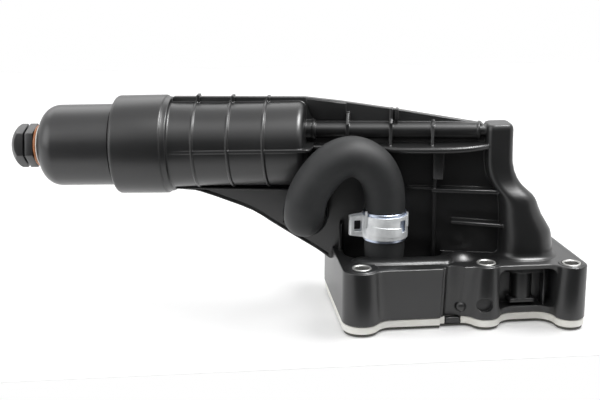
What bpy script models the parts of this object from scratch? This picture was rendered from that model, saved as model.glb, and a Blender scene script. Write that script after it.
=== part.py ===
"""Oil filter housing for an engine: a one-piece moulded body with a slanted filter canister,
a screw cap with a drain plug, a moulded coolant hose with band clamps, and a bolted flange.

Run it with blender --background --python part.py, or from the text editor.
Units are metres. The origin lies on the flange's mounting plane, +Z points away from the
engine, and +X runs along the flange's front edge, away from the cap.
"""

import math

import bmesh
import bpy
from mathutils import Euler, Matrix, Vector

# Clearance between pieces that touch, and between pieces that run in each other
SEAT_GAP = 0.0003
RUN_GAP = 0.0004

# Facets of round shapes
ROUND_LARGE = 32
ROUND_MEDIUM = 18
ROUND_SMALL = 12

# Slivers shorter than this are closed after each Boolean
WELD_DISTANCE = 0.00001

# Flange stack, from the mounting plane upwards
SEAL_THICKNESS = 0.0016
GASKET_THICKNESS = 0.0047
BASE_HEIGHT = 0.035

# Base block: its left and right ends, and the y of its rear wall
BASE_LEFT = -0.0776
BASE_RIGHT = 0.0788
BASE_REAR_Y = 0.046
GASKET_INSET = 0.0004
SEAL_INSET = 0.0012

# The front wall leans out towards the top. Its y left of the step, right of it, and right of the
# middle boss, and the fillets beside the left, middle and right boss, at the foot and at the top
WALLS_FOOT = (-0.0434, -0.0406, -0.0366)
WALLS_TOP = (-0.0488, -0.0470, -0.0476)
FILLETS_FOOT = (0.0070, 0.0080, 0.0110)
FILLETS_TOP = (0.0050, 0.0070, 0.0070)
WALL_STEP = (-0.0144, -0.0136)
REAR_FILLET = 0.0060

# Bolt bosses: centre x, centre y and radius; each end's bosses follow that end of the base
BOSSES = {
    "front_left": (BASE_LEFT + 0.0124, -0.0418, 0.0124),
    "front_mid": (0.0152, -0.0398, 0.0105),
    "front_right": (BASE_RIGHT - 0.0100, -0.0470, 0.0100),
    "rear_left": (BASE_LEFT + 0.0115, 0.0400, 0.0115),
    "rear_mid": (0.0040, 0.0420, 0.0105),
    "rear_right": (BASE_RIGHT - 0.0188, 0.0400, 0.0115),
}
BOSS_PAD_INSET = 0.0018
BOSS_PAD_RISE = 0.0004
LIMITER_R = 0.00625
LIMITER_BORE_R = 0.0045
LIMITER_PROUD = 0.0006

# Canister: a point on its axis, how far the tube's closed end runs past it, and the axis's
# directions; the cap is at the lower end
CANISTER_END = (BASE_LEFT - 0.0184, 0.0115, 0.1119)
TUBE_OVERRUN = 0.0030
CANISTER_HEADING = math.radians(-13.5)
CANISTER_TILT = math.radians(2.3)
TUBE_R = 0.0276
TUBE_WALL = 0.0028
TUBE_LENGTH = 0.0900
TUBE_END_WALL = 0.0045
TUBE_END_ROUND = 0.0030
COLLAR_R = 0.0323
COLLAR_LENGTH = 0.0354
COLLAR_LIP_ROUND = 0.0026
COLLAR_SHOULDER = 0.0050
RING_PLACES = (-0.0682, -0.0454, -0.0225)
RING_WIDTH = 0.0016
RING_HEIGHT = 0.0008
SEAM_RIB_HEIGHT = 0.0030
SEAM_RIB_PROUD = 0.0010

# Screw cap and its sealing ring
CAP_R = 0.0263
CAP_WALL = 0.0026
CAP_REACH = 0.0526
CAP_SKIRT = 0.0300
CAP_SKIRT_BEVEL = 0.0012
CAP_DOME_ROUND = 0.0120
CAP_RING_PLACE = 0.0090
CAP_RING_GROOVE_WIDTH = 0.0036
CAP_RING_GROOVE_DEPTH = 0.0030
CAP_GROOVE_WALL = 0.0014
CAP_GROOVE_SLOPE = 0.0030

# Hexagon drive in the cap's dome, with its sealing ring
HEX_ACROSS_FLATS = 0.0254
HEX_ANGLE = math.radians(15.0)
HEX_CORNER_TRIM = 0.0006
DRIVE_LENGTH = 0.0076
DRIVE_NECK_R = 0.0076
DRIVE_LIP = 0.0024
DRIVE_LIP_THICKNESS = 0.0020
DRIVE_RIM = 0.0022
DRIVE_RIM_GROOVE = 0.0008
DRIVE_RING_SECTION = 0.0022

# Drain plug in the drive
PLUG_HEAD_LENGTH = 0.0086
PLUG_HEAD_DOME_R = 0.0135
PLUG_GROOVE = 0.0014
PLUG_FLANGE_R = 0.0118
PLUG_SHANK_R = 0.0060
PLUG_SHANK_LENGTH = 0.0150
PLUG_SHANK_BEVEL = 0.0010
PLUG_RING_PLACE = 0.0040
PLUG_RING_GROOVE_WIDTH = 0.0022
PLUG_RING_GROOVE_DEPTH = 0.0016

# Filter element and standpipe
ELEMENT_R = 0.0204
ELEMENT_INNER_R = 0.0118
ELEMENT_END_SPACE = 0.0060
END_CAP_THICKNESS = 0.0022
PLEATS = 30
PLEAT_THICKNESS = 0.0009
PLEAT_MARGIN = 0.0006
CORE_R = 0.0110
CORE_WALL = 0.0013
CORE_SLOTS = 3
CORE_SLOT_LENGTH = 0.0360
CORE_SLOT_WIDTH = 0.0050
STANDPIPE_R = 0.0078
STANDPIPE_WALL = 0.0016
STANDPIPE_FLANGE_R = 0.0125
STANDPIPE_FLANGE_THICKNESS = 0.0022
STANDPIPE_LENGTH = 0.1150
STANDPIPE_TAPER = (0.0040, 0.0008)
STANDPIPE_SLOTS = 3
STANDPIPE_SLOT_LENGTH = 0.0200
STANDPIPE_SLOT_WIDTH = 0.0036
GROMMET_LENGTH = 0.0030

# Web plate in the vertical plane of the canister's axis
WEB_THICKNESS = 0.0040
WEB_ABOVE_TUBE = 0.0026
KEEL_BELOW_TUBE = 0.0068
KEEL_LIP_WIDTH = 0.0110
KEEL_LIP_THICKNESS = 0.0022
WEB_TOP_FALL = 0.0142
WEB_PEAK_U = 0.0012
WEB_FALL_END_U = 0.1128
WEB_RIGHT_EDGE = ((0.1420, 0.0315), (0.1420, 0.0700), (0.1280, 0.1150), (0.1168, 0.1238))
KEEL_LEVEL_LENGTH = 0.0180
KEEL_LINE = ((-0.0490, 0.0706), (-0.0330, 0.0648), (-0.0210, 0.0570), (-0.0070, 0.0490), (0.0080, 0.0403))
KEEL_FOOT = (0.0177, 0.0325)

# Oil pipe, shelf and ribs on the web's front
PIPE_R = 0.0052
PIPE_BORE_R = 0.0032
PIPE_HEIGHT_LEFT = 0.1208
PIPE_HEIGHT_RIGHT = 0.1232
PIPE_ENDS = (0.0060, 0.1250)
PIPE_BORE_ENDS = (0.0030, 0.1215)
PIPE_SPAN = (0.0074, 0.1128)
END_BOSS_R = 0.0125
END_BOSS_LENGTH = 0.0090
SHELF_THICKNESS = 0.0020
SHELF_START = (0.0020, 0.1114)
SHELF_FRONT = ((0.0020, -0.0080), (0.0470, -0.0080), (0.0580, -0.0172), (0.0740, -0.0196),
               (0.0880, -0.0203), (0.1040, -0.0186), (0.1230, -0.0122))
RIB_THICKNESS = 0.0020
RIB_OVER_PIPE = 0.0008
SHELF_RIB_TOPS = ((0.0300, 0.1306), (0.0572, 0.1364), (0.0836, 0.1292))
CLIP_RIB = (0.0596, 0.1290, 0.1364)
CLIP_RIB_DEPTH = 0.0056
LOWER_RIB_U = 0.0836
LOWER_RIB_DEPTH = 0.0125
PAD_SIDES = (0.0840, 0.0885, 0.0960, 0.1125)
PAD_DEPTH = 0.0085
LEVEL_RIB_SIDES = (0.0840, 0.1200, 0.0835, 0.0857)
SLANTED_RIB = ((0.1000, 0.0680), (0.1260, 0.0630), (0.1260, 0.0652), (0.1000, 0.0702))
PLATE_RIB_DEPTH = 0.0100
REAR_RIB_TOP = 0.1240

# Column, as sections: height, centre x, half width, half depth and corner radius
COLUMN_Y = -0.0185
COLUMN_SECTIONS = (
    (0.0300, 0.0450, 0.0173, 0.0190, 0.0135),
    (0.0500, 0.0450, 0.0171, 0.0187, 0.0135),
    (0.0590, 0.0442, 0.0164, 0.0182, 0.0132),
    (0.0650, 0.0422, 0.0145, 0.0178, 0.0122),
    (0.0720, 0.0400, 0.0126, 0.0170, 0.0112),
    (0.0790, 0.0382, 0.0115, 0.0160, 0.0098),
    (0.0830, 0.0364, 0.0110, 0.0146, 0.0086),
    (0.0860, 0.0334, 0.0104, 0.0122, 0.0070),
    (0.0900, 0.0302, 0.0094, 0.0100, 0.0056),
    (0.0970, 0.0272, 0.0083, 0.0090, 0.0044),
    (0.1060, 0.0260, 0.0079, 0.0089, 0.0040),
    (0.1265, 0.0258, 0.0077, 0.0089, 0.0038),
    (0.1285, 0.0258, 0.0065, 0.0077, 0.0030),
)

# Oil outlet chamber with the check valve, under the column
OUTLET_X = 0.0432
OUTLET_R = 0.0092
OUTLET_ROOF = 0.0400
OUTLET_TOP = 0.0660
OUTLET_SEAT = 0.0080
RISER_R = 0.0040
RISER_KNEE = (0.0258, 0.1060)

# Oil inlet chamber with the by-pass valve, and the slanted duct behind the web (in the web's frame)
DUCT_R = 0.0085
DUCT_BORE_R = 0.0052
DUCT_FOOT = 0.0375
DUCT_TOP = -0.0110
DUCT_BACK = 0.0075
INLET_ROOF = 0.0300
INLET_TOP = 0.0370
INLET_SEAT = 0.0040

# Valves
VALVE_SEAT_HOLE_R = 0.0046
VALVE_SEAT_HEIGHT = 0.0040
VALVE_DISC_R = 0.0072
VALVE_DISC_THICKNESS = 0.0020
VALVE_STEM_R = 0.0030
VALVE_STEM_LENGTH = 0.0040
SPRING_R = 0.0052
SPRING_WIRE_R = 0.0006
SPRING_TURNS = 4

# Coolant stubs and hose
HOSE_R = 0.0130
HOSE_BORE_R = 0.0096
STUB_R = 0.0093
STUB_BORE_R = 0.0068
FOOT_STUB_X = BASE_LEFT + 0.0308
FOOT_STUB_Y = -0.0182
FOOT_STUB_TOP = 0.0660
HOSE_FOOT_Z = 0.0480
COOLANT_PORT_R = 0.0080
COOLANT_PORT_DEPTH = 0.0120
STUB_TAPER = (0.0040, 0.0010)
REAR_STUB_U = 0.0030
REAR_STUB_Z = 0.0668
REAR_STUB_REACH = 0.0140
REAR_STUB_BACK = 0.0080
STUB_COLLAR_R = 0.0125
REAR_HOSE_END = 0.0045
HOSE_STRAIGHT = 0.0250
HOSE_TOP_Z = 0.1090
HOSE_ELBOW_R = 0.0165
HOSE_ELBOW_START = 0.0160

# Band clamps: width of the band, width of the liner, height of the pliers' window
CLAMP_FRONT = (0.0148, 0.0186, 0.0066)
CLAMP_REAR = (0.0074, 0.0088, 0.0036)
CLAMP_THICKNESS = 0.0008
CLAMP_LINER_THICKNESS = 0.0005
CLAMP_EAR_REACH = 0.0105
CLAMP_EAR_GAP = 0.0044
CLAMP_EAR_RIM = 0.0040
CLAMP_HEIGHT = 0.0635
CLAMP_REAR_TURN = math.radians(178.0)

# Front window of the base, and the pillar, ledge and fin in it
WINDOW_LEFT = 0.0234
WINDOW_RIGHT = BASE_RIGHT - 0.0212
WINDOW_SILL = 0.0053
WINDOW_LINTEL = 0.0025
WINDOW_BACK_Y = -0.0310
WINDOW_CORNER_R = 0.0032
WINDOW_PILLAR_X = 0.0366
WINDOW_PILLAR_R = 0.0066
WINDOW_LEDGE = (0.0276, 0.0466, -0.0372)
WINDOW_LEDGE_Z = (0.0166, 0.0190)
WINDOW_FIN = (0.0514, 0.0530, -0.0380)

# Locating tab that laps over the gasket
TAB_LEFT = -0.0105
TAB_WIDTH = 0.0100
TAB_THICKNESS = 0.0042
TAB_PROUD = 0.0010
TAB_TOP = 0.0100

# Recess in the base's top round the foot of the hose
RECESS_DEPTH = 0.0080
RECESS_LEFT = BASE_LEFT + 0.0041
RECESS_RIGHT = -0.0060
RECESS_FRONT_Y = -0.0215
GUSSET_U = 0.0225
GUSSET_PROFILE = ((-0.0140, -0.0100), (-0.0125, 0.0020), (-0.0110, 0.0166), (0.0, 0.0181))
POST_X = 0.0005
POST_Y = -0.0270
POST_PROFILE = ((0.0070, 0.0044), (0.0090, 0.0028))
POST_FOOT_R = 0.0048

# Core pockets in the underside: low x, high x, low y, high y
POCKETS = (
    (-0.0270, -0.0050, -0.0280, 0.0060),
    (0.0050, 0.0260, -0.0240, 0.0100),
    (0.0300, BASE_RIGHT - 0.0208, 0.0040, 0.0300),
    (-0.0270, -0.0050, 0.0110, 0.0320),
)
POCKET_DEPTH = 0.0180
POCKET_ROUND = 0.0040

# Heights that follow from the stack
GASKET_Z = SEAL_THICKNESS + SEAT_GAP
BODY_Z = GASKET_Z + GASKET_THICKNESS + SEAT_GAP
TOP_Z = BODY_Z + BASE_HEIGHT

# Stations along the canister's axis, from the closed end towards the cap
COLLAR_X = -TUBE_LENGTH
MOUTH_X = COLLAR_X - COLLAR_LENGTH
DOME_X = MOUTH_X - CAP_REACH
SKIRT_X = MOUTH_X + CAP_SKIRT
BAY_R = TUBE_R - TUBE_WALL
COLLAR_BORE_R = CAP_R + SEAT_GAP
DRIVE_SEAT_X = DOME_X - DRIVE_RING_SECTION - SEAT_GAP * 2.0
DRIVE_FACE_X = DRIVE_SEAT_X - DRIVE_LENGTH
DRIVE_LIP_X = DOME_X + CAP_WALL + SEAT_GAP
ELEMENT_LOW_X = DRIVE_LIP_X + DRIVE_LIP_THICKNESS + SEAT_GAP
ELEMENT_HIGH_X = -TUBE_END_WALL - ELEMENT_END_SPACE

COLORS = {
    "black_nylon": ((0.030, 0.031, 0.033, 1.0), 0.42, 0.0),
    "cap_nylon": ((0.034, 0.034, 0.036, 1.0), 0.40, 0.0),
    "hose_rubber": ((0.036, 0.037, 0.038, 1.0), 0.62, 0.0),
    "zinc": ((0.72, 0.74, 0.75, 1.0), 0.30, 0.9),
    "liner_steel": ((0.62, 0.66, 0.74, 1.0), 0.28, 0.9),
    "limiter_steel": ((0.66, 0.66, 0.65, 1.0), 0.34, 0.9),
    "cream_gasket": ((0.80, 0.79, 0.73, 1.0), 0.60, 0.0),
    "seal_rubber": ((0.10, 0.10, 0.09, 1.0), 0.60, 0.0),
    "amber_rubber": ((0.38, 0.16, 0.07, 1.0), 0.45, 0.0),
    "black_rubber": ((0.025, 0.025, 0.026, 1.0), 0.50, 0.0),
    "filter_paper": ((0.78, 0.66, 0.40, 1.0), 0.85, 0.0),
    "grey_nylon": ((0.20, 0.21, 0.22, 1.0), 0.50, 0.0),
    "spring_steel": ((0.55, 0.56, 0.58, 1.0), 0.30, 1.0),
    "valve_steel": ((0.60, 0.60, 0.58, 1.0), 0.35, 1.0),
}


def clear_scene():
    for obj in list(bpy.data.objects):
        bpy.data.objects.remove(obj, do_unlink=True)


def material(name):
    """The material of that name, made once."""
    found = bpy.data.materials.get(name)
    if found:
        return found
    color, roughness, metallic = COLORS[name]
    made = bpy.data.materials.new(name)
    made.use_nodes = True
    shader = made.node_tree.nodes["Principled BSDF"]
    shader.inputs["Base Color"].default_value = color
    shader.inputs["Roughness"].default_value = roughness
    shader.inputs["Metallic"].default_value = metallic
    made.diffuse_color = color
    return made


# Frames


def canister_frame():
    turn = Euler((0.0, -CANISTER_TILT, CANISTER_HEADING)).to_matrix().to_4x4()
    return Matrix.Translation(CANISTER_END) @ turn @ Matrix.Translation((TUBE_OVERRUN, 0.0, 0.0))


def web_frame():
    """Upright frame of the web plate: u along the plate, v away from the viewer, z as in the part."""
    turn = Matrix.Rotation(CANISTER_HEADING, 4, "Z")
    return Matrix.Translation((CANISTER_END[0], CANISTER_END[1], 0.0)) @ turn


def axis_height(u):
    """Height of the canister's axis above the mounting plane at a station on the web."""
    return CANISTER_END[2] + u * math.tan(CANISTER_TILT)


# Outlines


def arc(center, radius, start, end, steps):
    """Points on an arc, angles in radians, both ends included."""
    turn = (end - start) / steps
    return [
        Vector((center[0] + radius * math.cos(start + turn * i),
                center[1] + radius * math.sin(start + turn * i)))
        for i in range(steps + 1)
    ]


def circle(center, radius, steps):
    return arc(center, radius, 0.0, math.tau, steps)[:-1]


def rounded(points, radius, steps=4):
    """A closed outline with every corner rounded; radius is one number or one for each corner."""
    corners = [Vector(p[:2]) for p in points]
    count = len(corners)
    radii = radius if isinstance(radius, (list, tuple)) else [radius] * count
    outline = []
    for i, corner in enumerate(corners):
        before = (corners[i - 1] - corner).normalized()
        after = (corners[(i + 1) % count] - corner).normalized()
        half = before.angle(after) / 2.0
        size = radii[i]
        if size <= 0.0 or half > math.radians(88.0):
            outline.append(corner)
            continue
        middle = corner + (before + after).normalized() * (size / math.sin(half))
        first = corner + before * (size / math.tan(half)) - middle
        last = corner + after * (size / math.tan(half)) - middle
        sweep = first.angle_signed(last)
        for k in range(steps + 1):
            turned = first.copy()
            turned.rotate(Matrix.Rotation(-sweep * k / steps, 2))
            outline.append(middle + turned)
    return outline


def rectangle(low_x, high_x, low_y, high_y):
    return [(low_x, low_y), (high_x, low_y), (high_x, high_y), (low_x, high_y)]


# Solids as bmeshes


def prism(outline, low, high):
    """An outline in x and y, extruded from one height to another."""
    bm = bmesh.new()
    face = bm.faces.new([bm.verts.new((p[0], p[1], low)) for p in outline])
    grown = bmesh.ops.extrude_face_region(bm, geom=[face])
    moved = [g for g in grown["geom"] if isinstance(g, bmesh.types.BMVert)]
    bmesh.ops.translate(bm, verts=moved, vec=(0.0, 0.0, high - low))
    return bm


def upright(outline, front, back):
    """An outline in x and z, extruded along y from front to back."""
    bm = prism(outline, front, back)
    for vert in bm.verts:
        x, z, y = vert.co
        vert.co = (x, y, z)
    return bm


def revolve(profile, steps, closed=True):
    """A profile of (station, radius) points turned about the x axis."""
    bm = bmesh.new()
    verts = [bm.verts.new((p[0], 0.0, p[1])) for p in profile]
    edges = [bm.edges.new((verts[i], verts[i + 1])) for i in range(len(verts) - 1)]
    if closed:
        edges.append(bm.edges.new((verts[-1], verts[0])))
    bmesh.ops.spin(bm, geom=verts + edges, cent=(0, 0, 0), axis=(1, 0, 0), angle=math.tau,
                   steps=steps, use_merge=True)
    bmesh.ops.remove_doubles(bm, verts=bm.verts, dist=1e-7)
    return bm


def stand(bm):
    """Turns a revolved solid so that its x axis points up."""
    bmesh.ops.rotate(bm, verts=bm.verts, matrix=Matrix.Rotation(-math.pi / 2.0, 3, "Y"))
    return bm


def rod(radius, low, high, steps):
    """A plain round bar along x."""
    return revolve([(low, 0.0), (low, radius), (high, radius), (high, 0.0)], steps, closed=False)


def rod_between(start, end, radius, steps):
    """A plain round bar between two points."""
    start = Vector(start)
    along = Vector(end) - start
    bm = rod(radius, 0.0, along.length, steps)
    turn = Vector((1, 0, 0)).rotation_difference(along).to_matrix().to_4x4()
    bm.transform(Matrix.Translation(start) @ turn)
    return bm


def skin(rings, cyclic=False):
    """A solid skinned over rings of points, capped at both ends unless it closes on itself."""
    bm = bmesh.new()
    loops = [[bm.verts.new(p) for p in ring] for ring in rings]
    count = len(loops[0])
    pairs = list(zip(loops, loops[1:]))
    if cyclic:
        pairs.append((loops[-1], loops[0]))
    for lower, upper in pairs:
        for k in range(count):
            n = (k + 1) % count
            bm.faces.new((lower[k], lower[n], upper[n], upper[k]))
    if not cyclic:
        bm.faces.new(loops[0])
        bm.faces.new(loops[-1])
    return bm


def placed(bm, frame):
    bm.transform(frame)
    return bm


def faces_out(bm):
    bm.normal_update()
    bmesh.ops.recalc_face_normals(bm, faces=bm.faces)


def add_object(name, bm, material_name, parent=None):
    """One named object from a bmesh, with its faces out and its round faces smooth."""
    faces_out(bm)
    mesh = bpy.data.meshes.new(name)
    bm.to_mesh(mesh)
    bm.free()
    mesh.materials.append(material(material_name))
    mesh.shade_smooth()
    mesh.set_sharp_from_angle(angle=math.radians(32.0))
    obj = bpy.data.objects.new(name, mesh)
    bpy.context.scene.collection.objects.link(obj)
    obj.parent = parent
    return obj


def combine(obj, solids, operation):
    """Adds or cuts a list of solids with one exact Boolean; the solids stay as wire guides."""
    label = "joined" if operation == "UNION" else "cut"
    group = bpy.data.collections.new(obj.name + "_" + label)
    bpy.context.scene.collection.children.link(group)
    for index, bm in enumerate(solids):
        faces_out(bm)
        mesh = bpy.data.meshes.new(group.name)
        bm.to_mesh(mesh)
        bm.free()
        guide = bpy.data.objects.new("%s_%02d" % (group.name, index), mesh)
        guide.hide_render = True
        guide.display_type = "WIRE"
        guide.parent = obj.parent
        group.objects.link(guide)
    boolean = obj.modifiers.new(label, "BOOLEAN")
    boolean.operation = operation
    boolean.operand_type = "COLLECTION"
    boolean.collection = group
    boolean.solver = "EXACT"
    weld = obj.modifiers.new(label + "_weld", "WELD")
    weld.merge_threshold = WELD_DISTANCE


# Housing body


def boss_fillet(name, wall, fillet, out, side, inset, steps=3):
    """Points on the fillet between a boss and a wall, from the boss on.

    out is -1 for the front wall and 1 for the rear one, side -1 left of the boss and 1 right of it.
    """
    x, y, radius = BOSSES[name]
    middle = Vector((x, y))
    reach = radius - inset + fillet
    rise = wall + out * fillet - y
    run = math.sqrt(max(reach * reach - rise * rise, fillet * fillet * 0.01))
    center = Vector((x + side * run, wall + out * fillet))
    start = (middle - center).normalized() * fillet
    sweep = start.angle_signed(Vector((0.0, -out * fillet)))
    points = []
    for k in range(steps + 1):
        turned = start.copy()
        turned.rotate(Matrix.Rotation(-sweep * k / steps, 2))
        points.append(center + turned)
    return points


def boss_side(name, start, end, inset, steps):
    """Points round a boss, from one direction to another."""
    x, y, radius = BOSSES[name]
    return arc((x, y), radius - inset, start, end, steps)


def seen_from_boss(name, point):
    """The direction in which a point lies from a boss."""
    x, y, _ = BOSSES[name]
    return math.atan2(point.y - y, point.x - x)


def base_outline(walls, fillets, inset):
    """The base's outline: its bosses, the fillets beside them and the walls between."""
    left_wall, mid_wall, right_wall = [wall + inset for wall in walls]
    rear_wall = BASE_REAR_Y - inset
    by_left = boss_fillet("front_left", left_wall, fillets[0], -1.0, 1.0, inset)
    to_mid = boss_fillet("front_mid", mid_wall, fillets[1], -1.0, -1.0, inset)
    by_mid = boss_fillet("front_mid", right_wall, fillets[2], -1.0, 1.0, inset)
    to_right = boss_fillet("front_right", right_wall, fillets[2], -1.0, -1.0, inset)
    rear = [boss_fillet("rear_right", rear_wall, REAR_FILLET, 1.0, -1.0, inset),
            boss_fillet("rear_mid", rear_wall, REAR_FILLET, 1.0, 1.0, inset),
            boss_fillet("rear_mid", rear_wall, REAR_FILLET, 1.0, -1.0, inset),
            boss_fillet("rear_left", rear_wall, REAR_FILLET, 1.0, 1.0, inset)]
    side = seen_from_boss("front_right", Vector(BOSSES["rear_right"][:2])) - math.pi / 2.0
    outline = boss_side("front_left", math.pi, math.tau + seen_from_boss("front_left", by_left[0]), inset, 8)
    outline += by_left[1:]
    outline += [Vector((WALL_STEP[0], left_wall)), Vector((WALL_STEP[1], mid_wall))]
    outline += to_mid[::-1]
    outline += boss_side("front_mid", seen_from_boss("front_mid", to_mid[0]),
                         seen_from_boss("front_mid", by_mid[0]), inset, 6)[1:]
    outline += by_mid[1:]
    outline += to_right[::-1]
    outline += boss_side("front_right", seen_from_boss("front_right", to_right[0]), side, inset, 8)[1:]
    outline += boss_side("rear_right", side, seen_from_boss("rear_right", rear[0][0]), inset, 6)
    outline += rear[0][1:]
    outline += rear[1][::-1]
    outline += boss_side("rear_mid", seen_from_boss("rear_mid", rear[1][0]),
                         seen_from_boss("rear_mid", rear[2][0]), inset, 6)[1:]
    outline += rear[2][1:]
    outline += rear[3][::-1]
    outline += boss_side("rear_left", seen_from_boss("rear_left", rear[3][0]), math.pi, inset, 6)[1:]
    return outline


def base_block():
    foot = [Vector((p.x, p.y, BODY_Z)) for p in base_outline(WALLS_FOOT, FILLETS_FOOT, 0.0)]
    top = [Vector((p.x, p.y, TOP_Z)) for p in base_outline(WALLS_TOP, FILLETS_TOP, 0.0)]
    return skin([foot, top])


def boss_pad(x, y, radius):
    """The raised face round a bolt hole."""
    return prism(circle((x, y), radius - BOSS_PAD_INSET, ROUND_MEDIUM), TOP_Z - 0.0020, TOP_Z + BOSS_PAD_RISE)


def column():
    rings = []
    for height, x, half_width, half_depth, corner in COLUMN_SECTIONS:
        outline = rectangle(x - half_width, x + half_width,
                            COLUMN_Y - half_depth, COLUMN_Y + half_depth)
        rings.append([Vector((p.x, p.y, height)) for p in rounded(outline, corner)])
    return skin(rings)


def canister_shell():
    """Collar, shoulder and ringed tube as one turned form, closed at the tube's end."""
    lip = arc((MOUTH_X + COLLAR_LIP_ROUND, COLLAR_R - COLLAR_LIP_ROUND), COLLAR_LIP_ROUND,
              math.pi, math.pi / 2.0, 3)
    end = arc((-TUBE_END_ROUND, TUBE_R - TUBE_END_ROUND), TUBE_END_ROUND,
              math.pi / 2.0, 0.0, 3)
    profile = [(MOUTH_X, 0.0)]
    profile += [(p.x, p.y) for p in lip]
    profile += [(COLLAR_X, COLLAR_R), (COLLAR_X + COLLAR_SHOULDER * 0.35, COLLAR_R - 0.0012)]
    profile += [(COLLAR_X + COLLAR_SHOULDER, TUBE_R)]
    for place in RING_PLACES:
        profile += [(place - RING_WIDTH / 2.0, TUBE_R), (place - RING_WIDTH / 2.0, TUBE_R + RING_HEIGHT),
                    (place + RING_WIDTH / 2.0, TUBE_R + RING_HEIGHT), (place + RING_WIDTH / 2.0, TUBE_R)]
    profile += [(p.x, p.y) for p in end]
    profile += [(0.0, 0.0)]
    return revolve(profile, ROUND_LARGE, closed=False)


def seam_rib():
    """The rib along the tube's middle, on both sides, running on towards the pipe."""
    reach = TUBE_R + SEAM_RIB_PROUD
    outline = rectangle(COLLAR_X - 0.002, 0.0005, -reach, reach)
    return prism(outline, -SEAM_RIB_HEIGHT * 0.2, SEAM_RIB_HEIGHT * 0.8)


def web_plate():
    """The tall plate that carries the canister: along the tube, then down to the base."""
    left = COLLAR_X + TUBE_OVERRUN + 0.0016
    half = WEB_THICKNESS / 2.0
    rise = TUBE_R + WEB_ABOVE_TUBE
    drop = TUBE_R + KEEL_BELOW_TUBE
    low = axis_height(left) - drop
    peak = axis_height(WEB_PEAK_U) + rise
    outline = [(left, axis_height(left) + rise), (left, low), (left + KEEL_LEVEL_LENGTH, low)]
    outline += KEEL_LINE + (KEEL_FOOT,) + WEB_RIGHT_EDGE
    outline += [(WEB_FALL_END_U, peak - WEB_TOP_FALL), (WEB_PEAK_U, peak)]
    return upright(outline, -half, half)


def keel_lip():
    """The flange along the keel's lower edge under the tube."""
    left = COLLAR_X + TUBE_OVERRUN + 0.0012
    half = KEEL_LIP_WIDTH / 2.0
    low = axis_height(left) - TUBE_R - KEEL_BELOW_TUBE
    path = [(left, low), (left + KEEL_LEVEL_LENGTH, low), *KEEL_LINE, KEEL_FOOT]
    upper = [(x, z + KEEL_LIP_THICKNESS) for x, z in reversed(path)]
    return upright(path + upper, -half, half)


def pipe_line(u):
    """Height of the oil pipe's axis at a station on the web."""
    share = (u - PIPE_SPAN[0]) / (PIPE_SPAN[1] - PIPE_SPAN[0])
    return PIPE_HEIGHT_LEFT + (PIPE_HEIGHT_RIGHT - PIPE_HEIGHT_LEFT) * share


def oil_pipe(radius, start, end):
    front = -WEB_THICKNESS / 2.0
    return rod_between((start, front, pipe_line(start)), (end, front, pipe_line(end)),
                       radius, ROUND_SMALL)


def shelf_height(u):
    """Height of the shelf's top, which climbs with the canister's tilt."""
    return SHELF_START[1] + (u - SHELF_START[0]) * math.tan(CANISTER_TILT)


def shelf():
    """The curved plate under the oil pipe, from the tube's end to the column."""
    back = [(SHELF_FRONT[-1][0], 0.0010), (SHELF_START[0], 0.0010)]
    bm = prism(list(SHELF_FRONT) + back, -SHELF_THICKNESS, 0.0)
    for vert in bm.verts:
        vert.co.z += shelf_height(vert.co.x)
    return bm


def cross_rib(u, low, high, front, back=0.0):
    """A rib square to the web, between two heights."""
    return prism(rectangle(u - RIB_THICKNESS / 2.0, u + RIB_THICKNESS / 2.0, front, back), low, high)


def web_ribs():
    over_pipe = -WEB_THICKNESS / 2.0 - PIPE_R - RIB_OVER_PIPE
    floor = TOP_Z - RECESS_DEPTH - SHELF_THICKNESS
    sunk = SHELF_THICKNESS / 2.0
    ribs = [cross_rib(u, shelf_height(u) - sunk, top, over_pipe) for u, top in SHELF_RIB_TOPS]
    ribs.append(cross_rib(*CLIP_RIB, -CLIP_RIB_DEPTH))
    ribs.append(cross_rib(LOWER_RIB_U, floor, shelf_height(LOWER_RIB_U) - sunk, -LOWER_RIB_DEPTH))
    ribs.append(upright(rectangle(*PAD_SIDES), -PAD_DEPTH, 0.0))
    ribs.append(upright(rectangle(*LEVEL_RIB_SIDES), -PLATE_RIB_DEPTH, 0.0))
    ribs.append(upright(SLANTED_RIB, -PLATE_RIB_DEPTH, 0.0))
    return ribs


def rear_ribs():
    """Stiffening ribs behind the web, square to it."""
    return [cross_rib(u, TOP_Z - SHELF_THICKNESS, REAR_RIB_TOP, 0.0, PLATE_RIB_DEPTH)
            for u, _ in SHELF_RIB_TOPS]


def gusset():
    """The upright fin between the web and the left rim of the hose's recess."""
    low = TOP_Z + GUSSET_PROFILE[0][1]
    outline = [(0.0, low)] + [(v, TOP_Z + rise) for v, rise in GUSSET_PROFILE]
    bm = prism(outline, 0.0, RIB_THICKNESS)
    for vert in bm.verts:
        v, z, u = vert.co
        vert.co = (GUSSET_U + u, v, z)
    return bm


def foot_stub():
    """The spigot that stands in the recess and carries the hose's right leg."""
    low = TOP_Z - RECESS_DEPTH - 0.002
    seat = HOSE_FOOT_Z - SEAT_GAP
    profile = [(low, 0.0), (low, STUB_COLLAR_R), (seat, STUB_COLLAR_R), (seat, STUB_R),
               (FOOT_STUB_TOP - STUB_TAPER[0], STUB_R), (FOOT_STUB_TOP, STUB_R - STUB_TAPER[1]),
               (FOOT_STUB_TOP, 0.0)]
    bm = stand(revolve(profile, ROUND_MEDIUM, closed=False))
    bmesh.ops.translate(bm, verts=bm.verts, vec=(FOOT_STUB_X, FOOT_STUB_Y, 0.0))
    return bm


def facing_front(bm):
    """Turns a revolved solid so that its x axis points at the viewer, out of the web."""
    bmesh.ops.rotate(bm, verts=bm.verts, matrix=Matrix.Rotation(-math.pi / 2.0, 3, "Z"))
    bmesh.ops.translate(bm, verts=bm.verts, vec=(REAR_STUB_U, 0.0, REAR_STUB_Z))
    return bm


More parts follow.
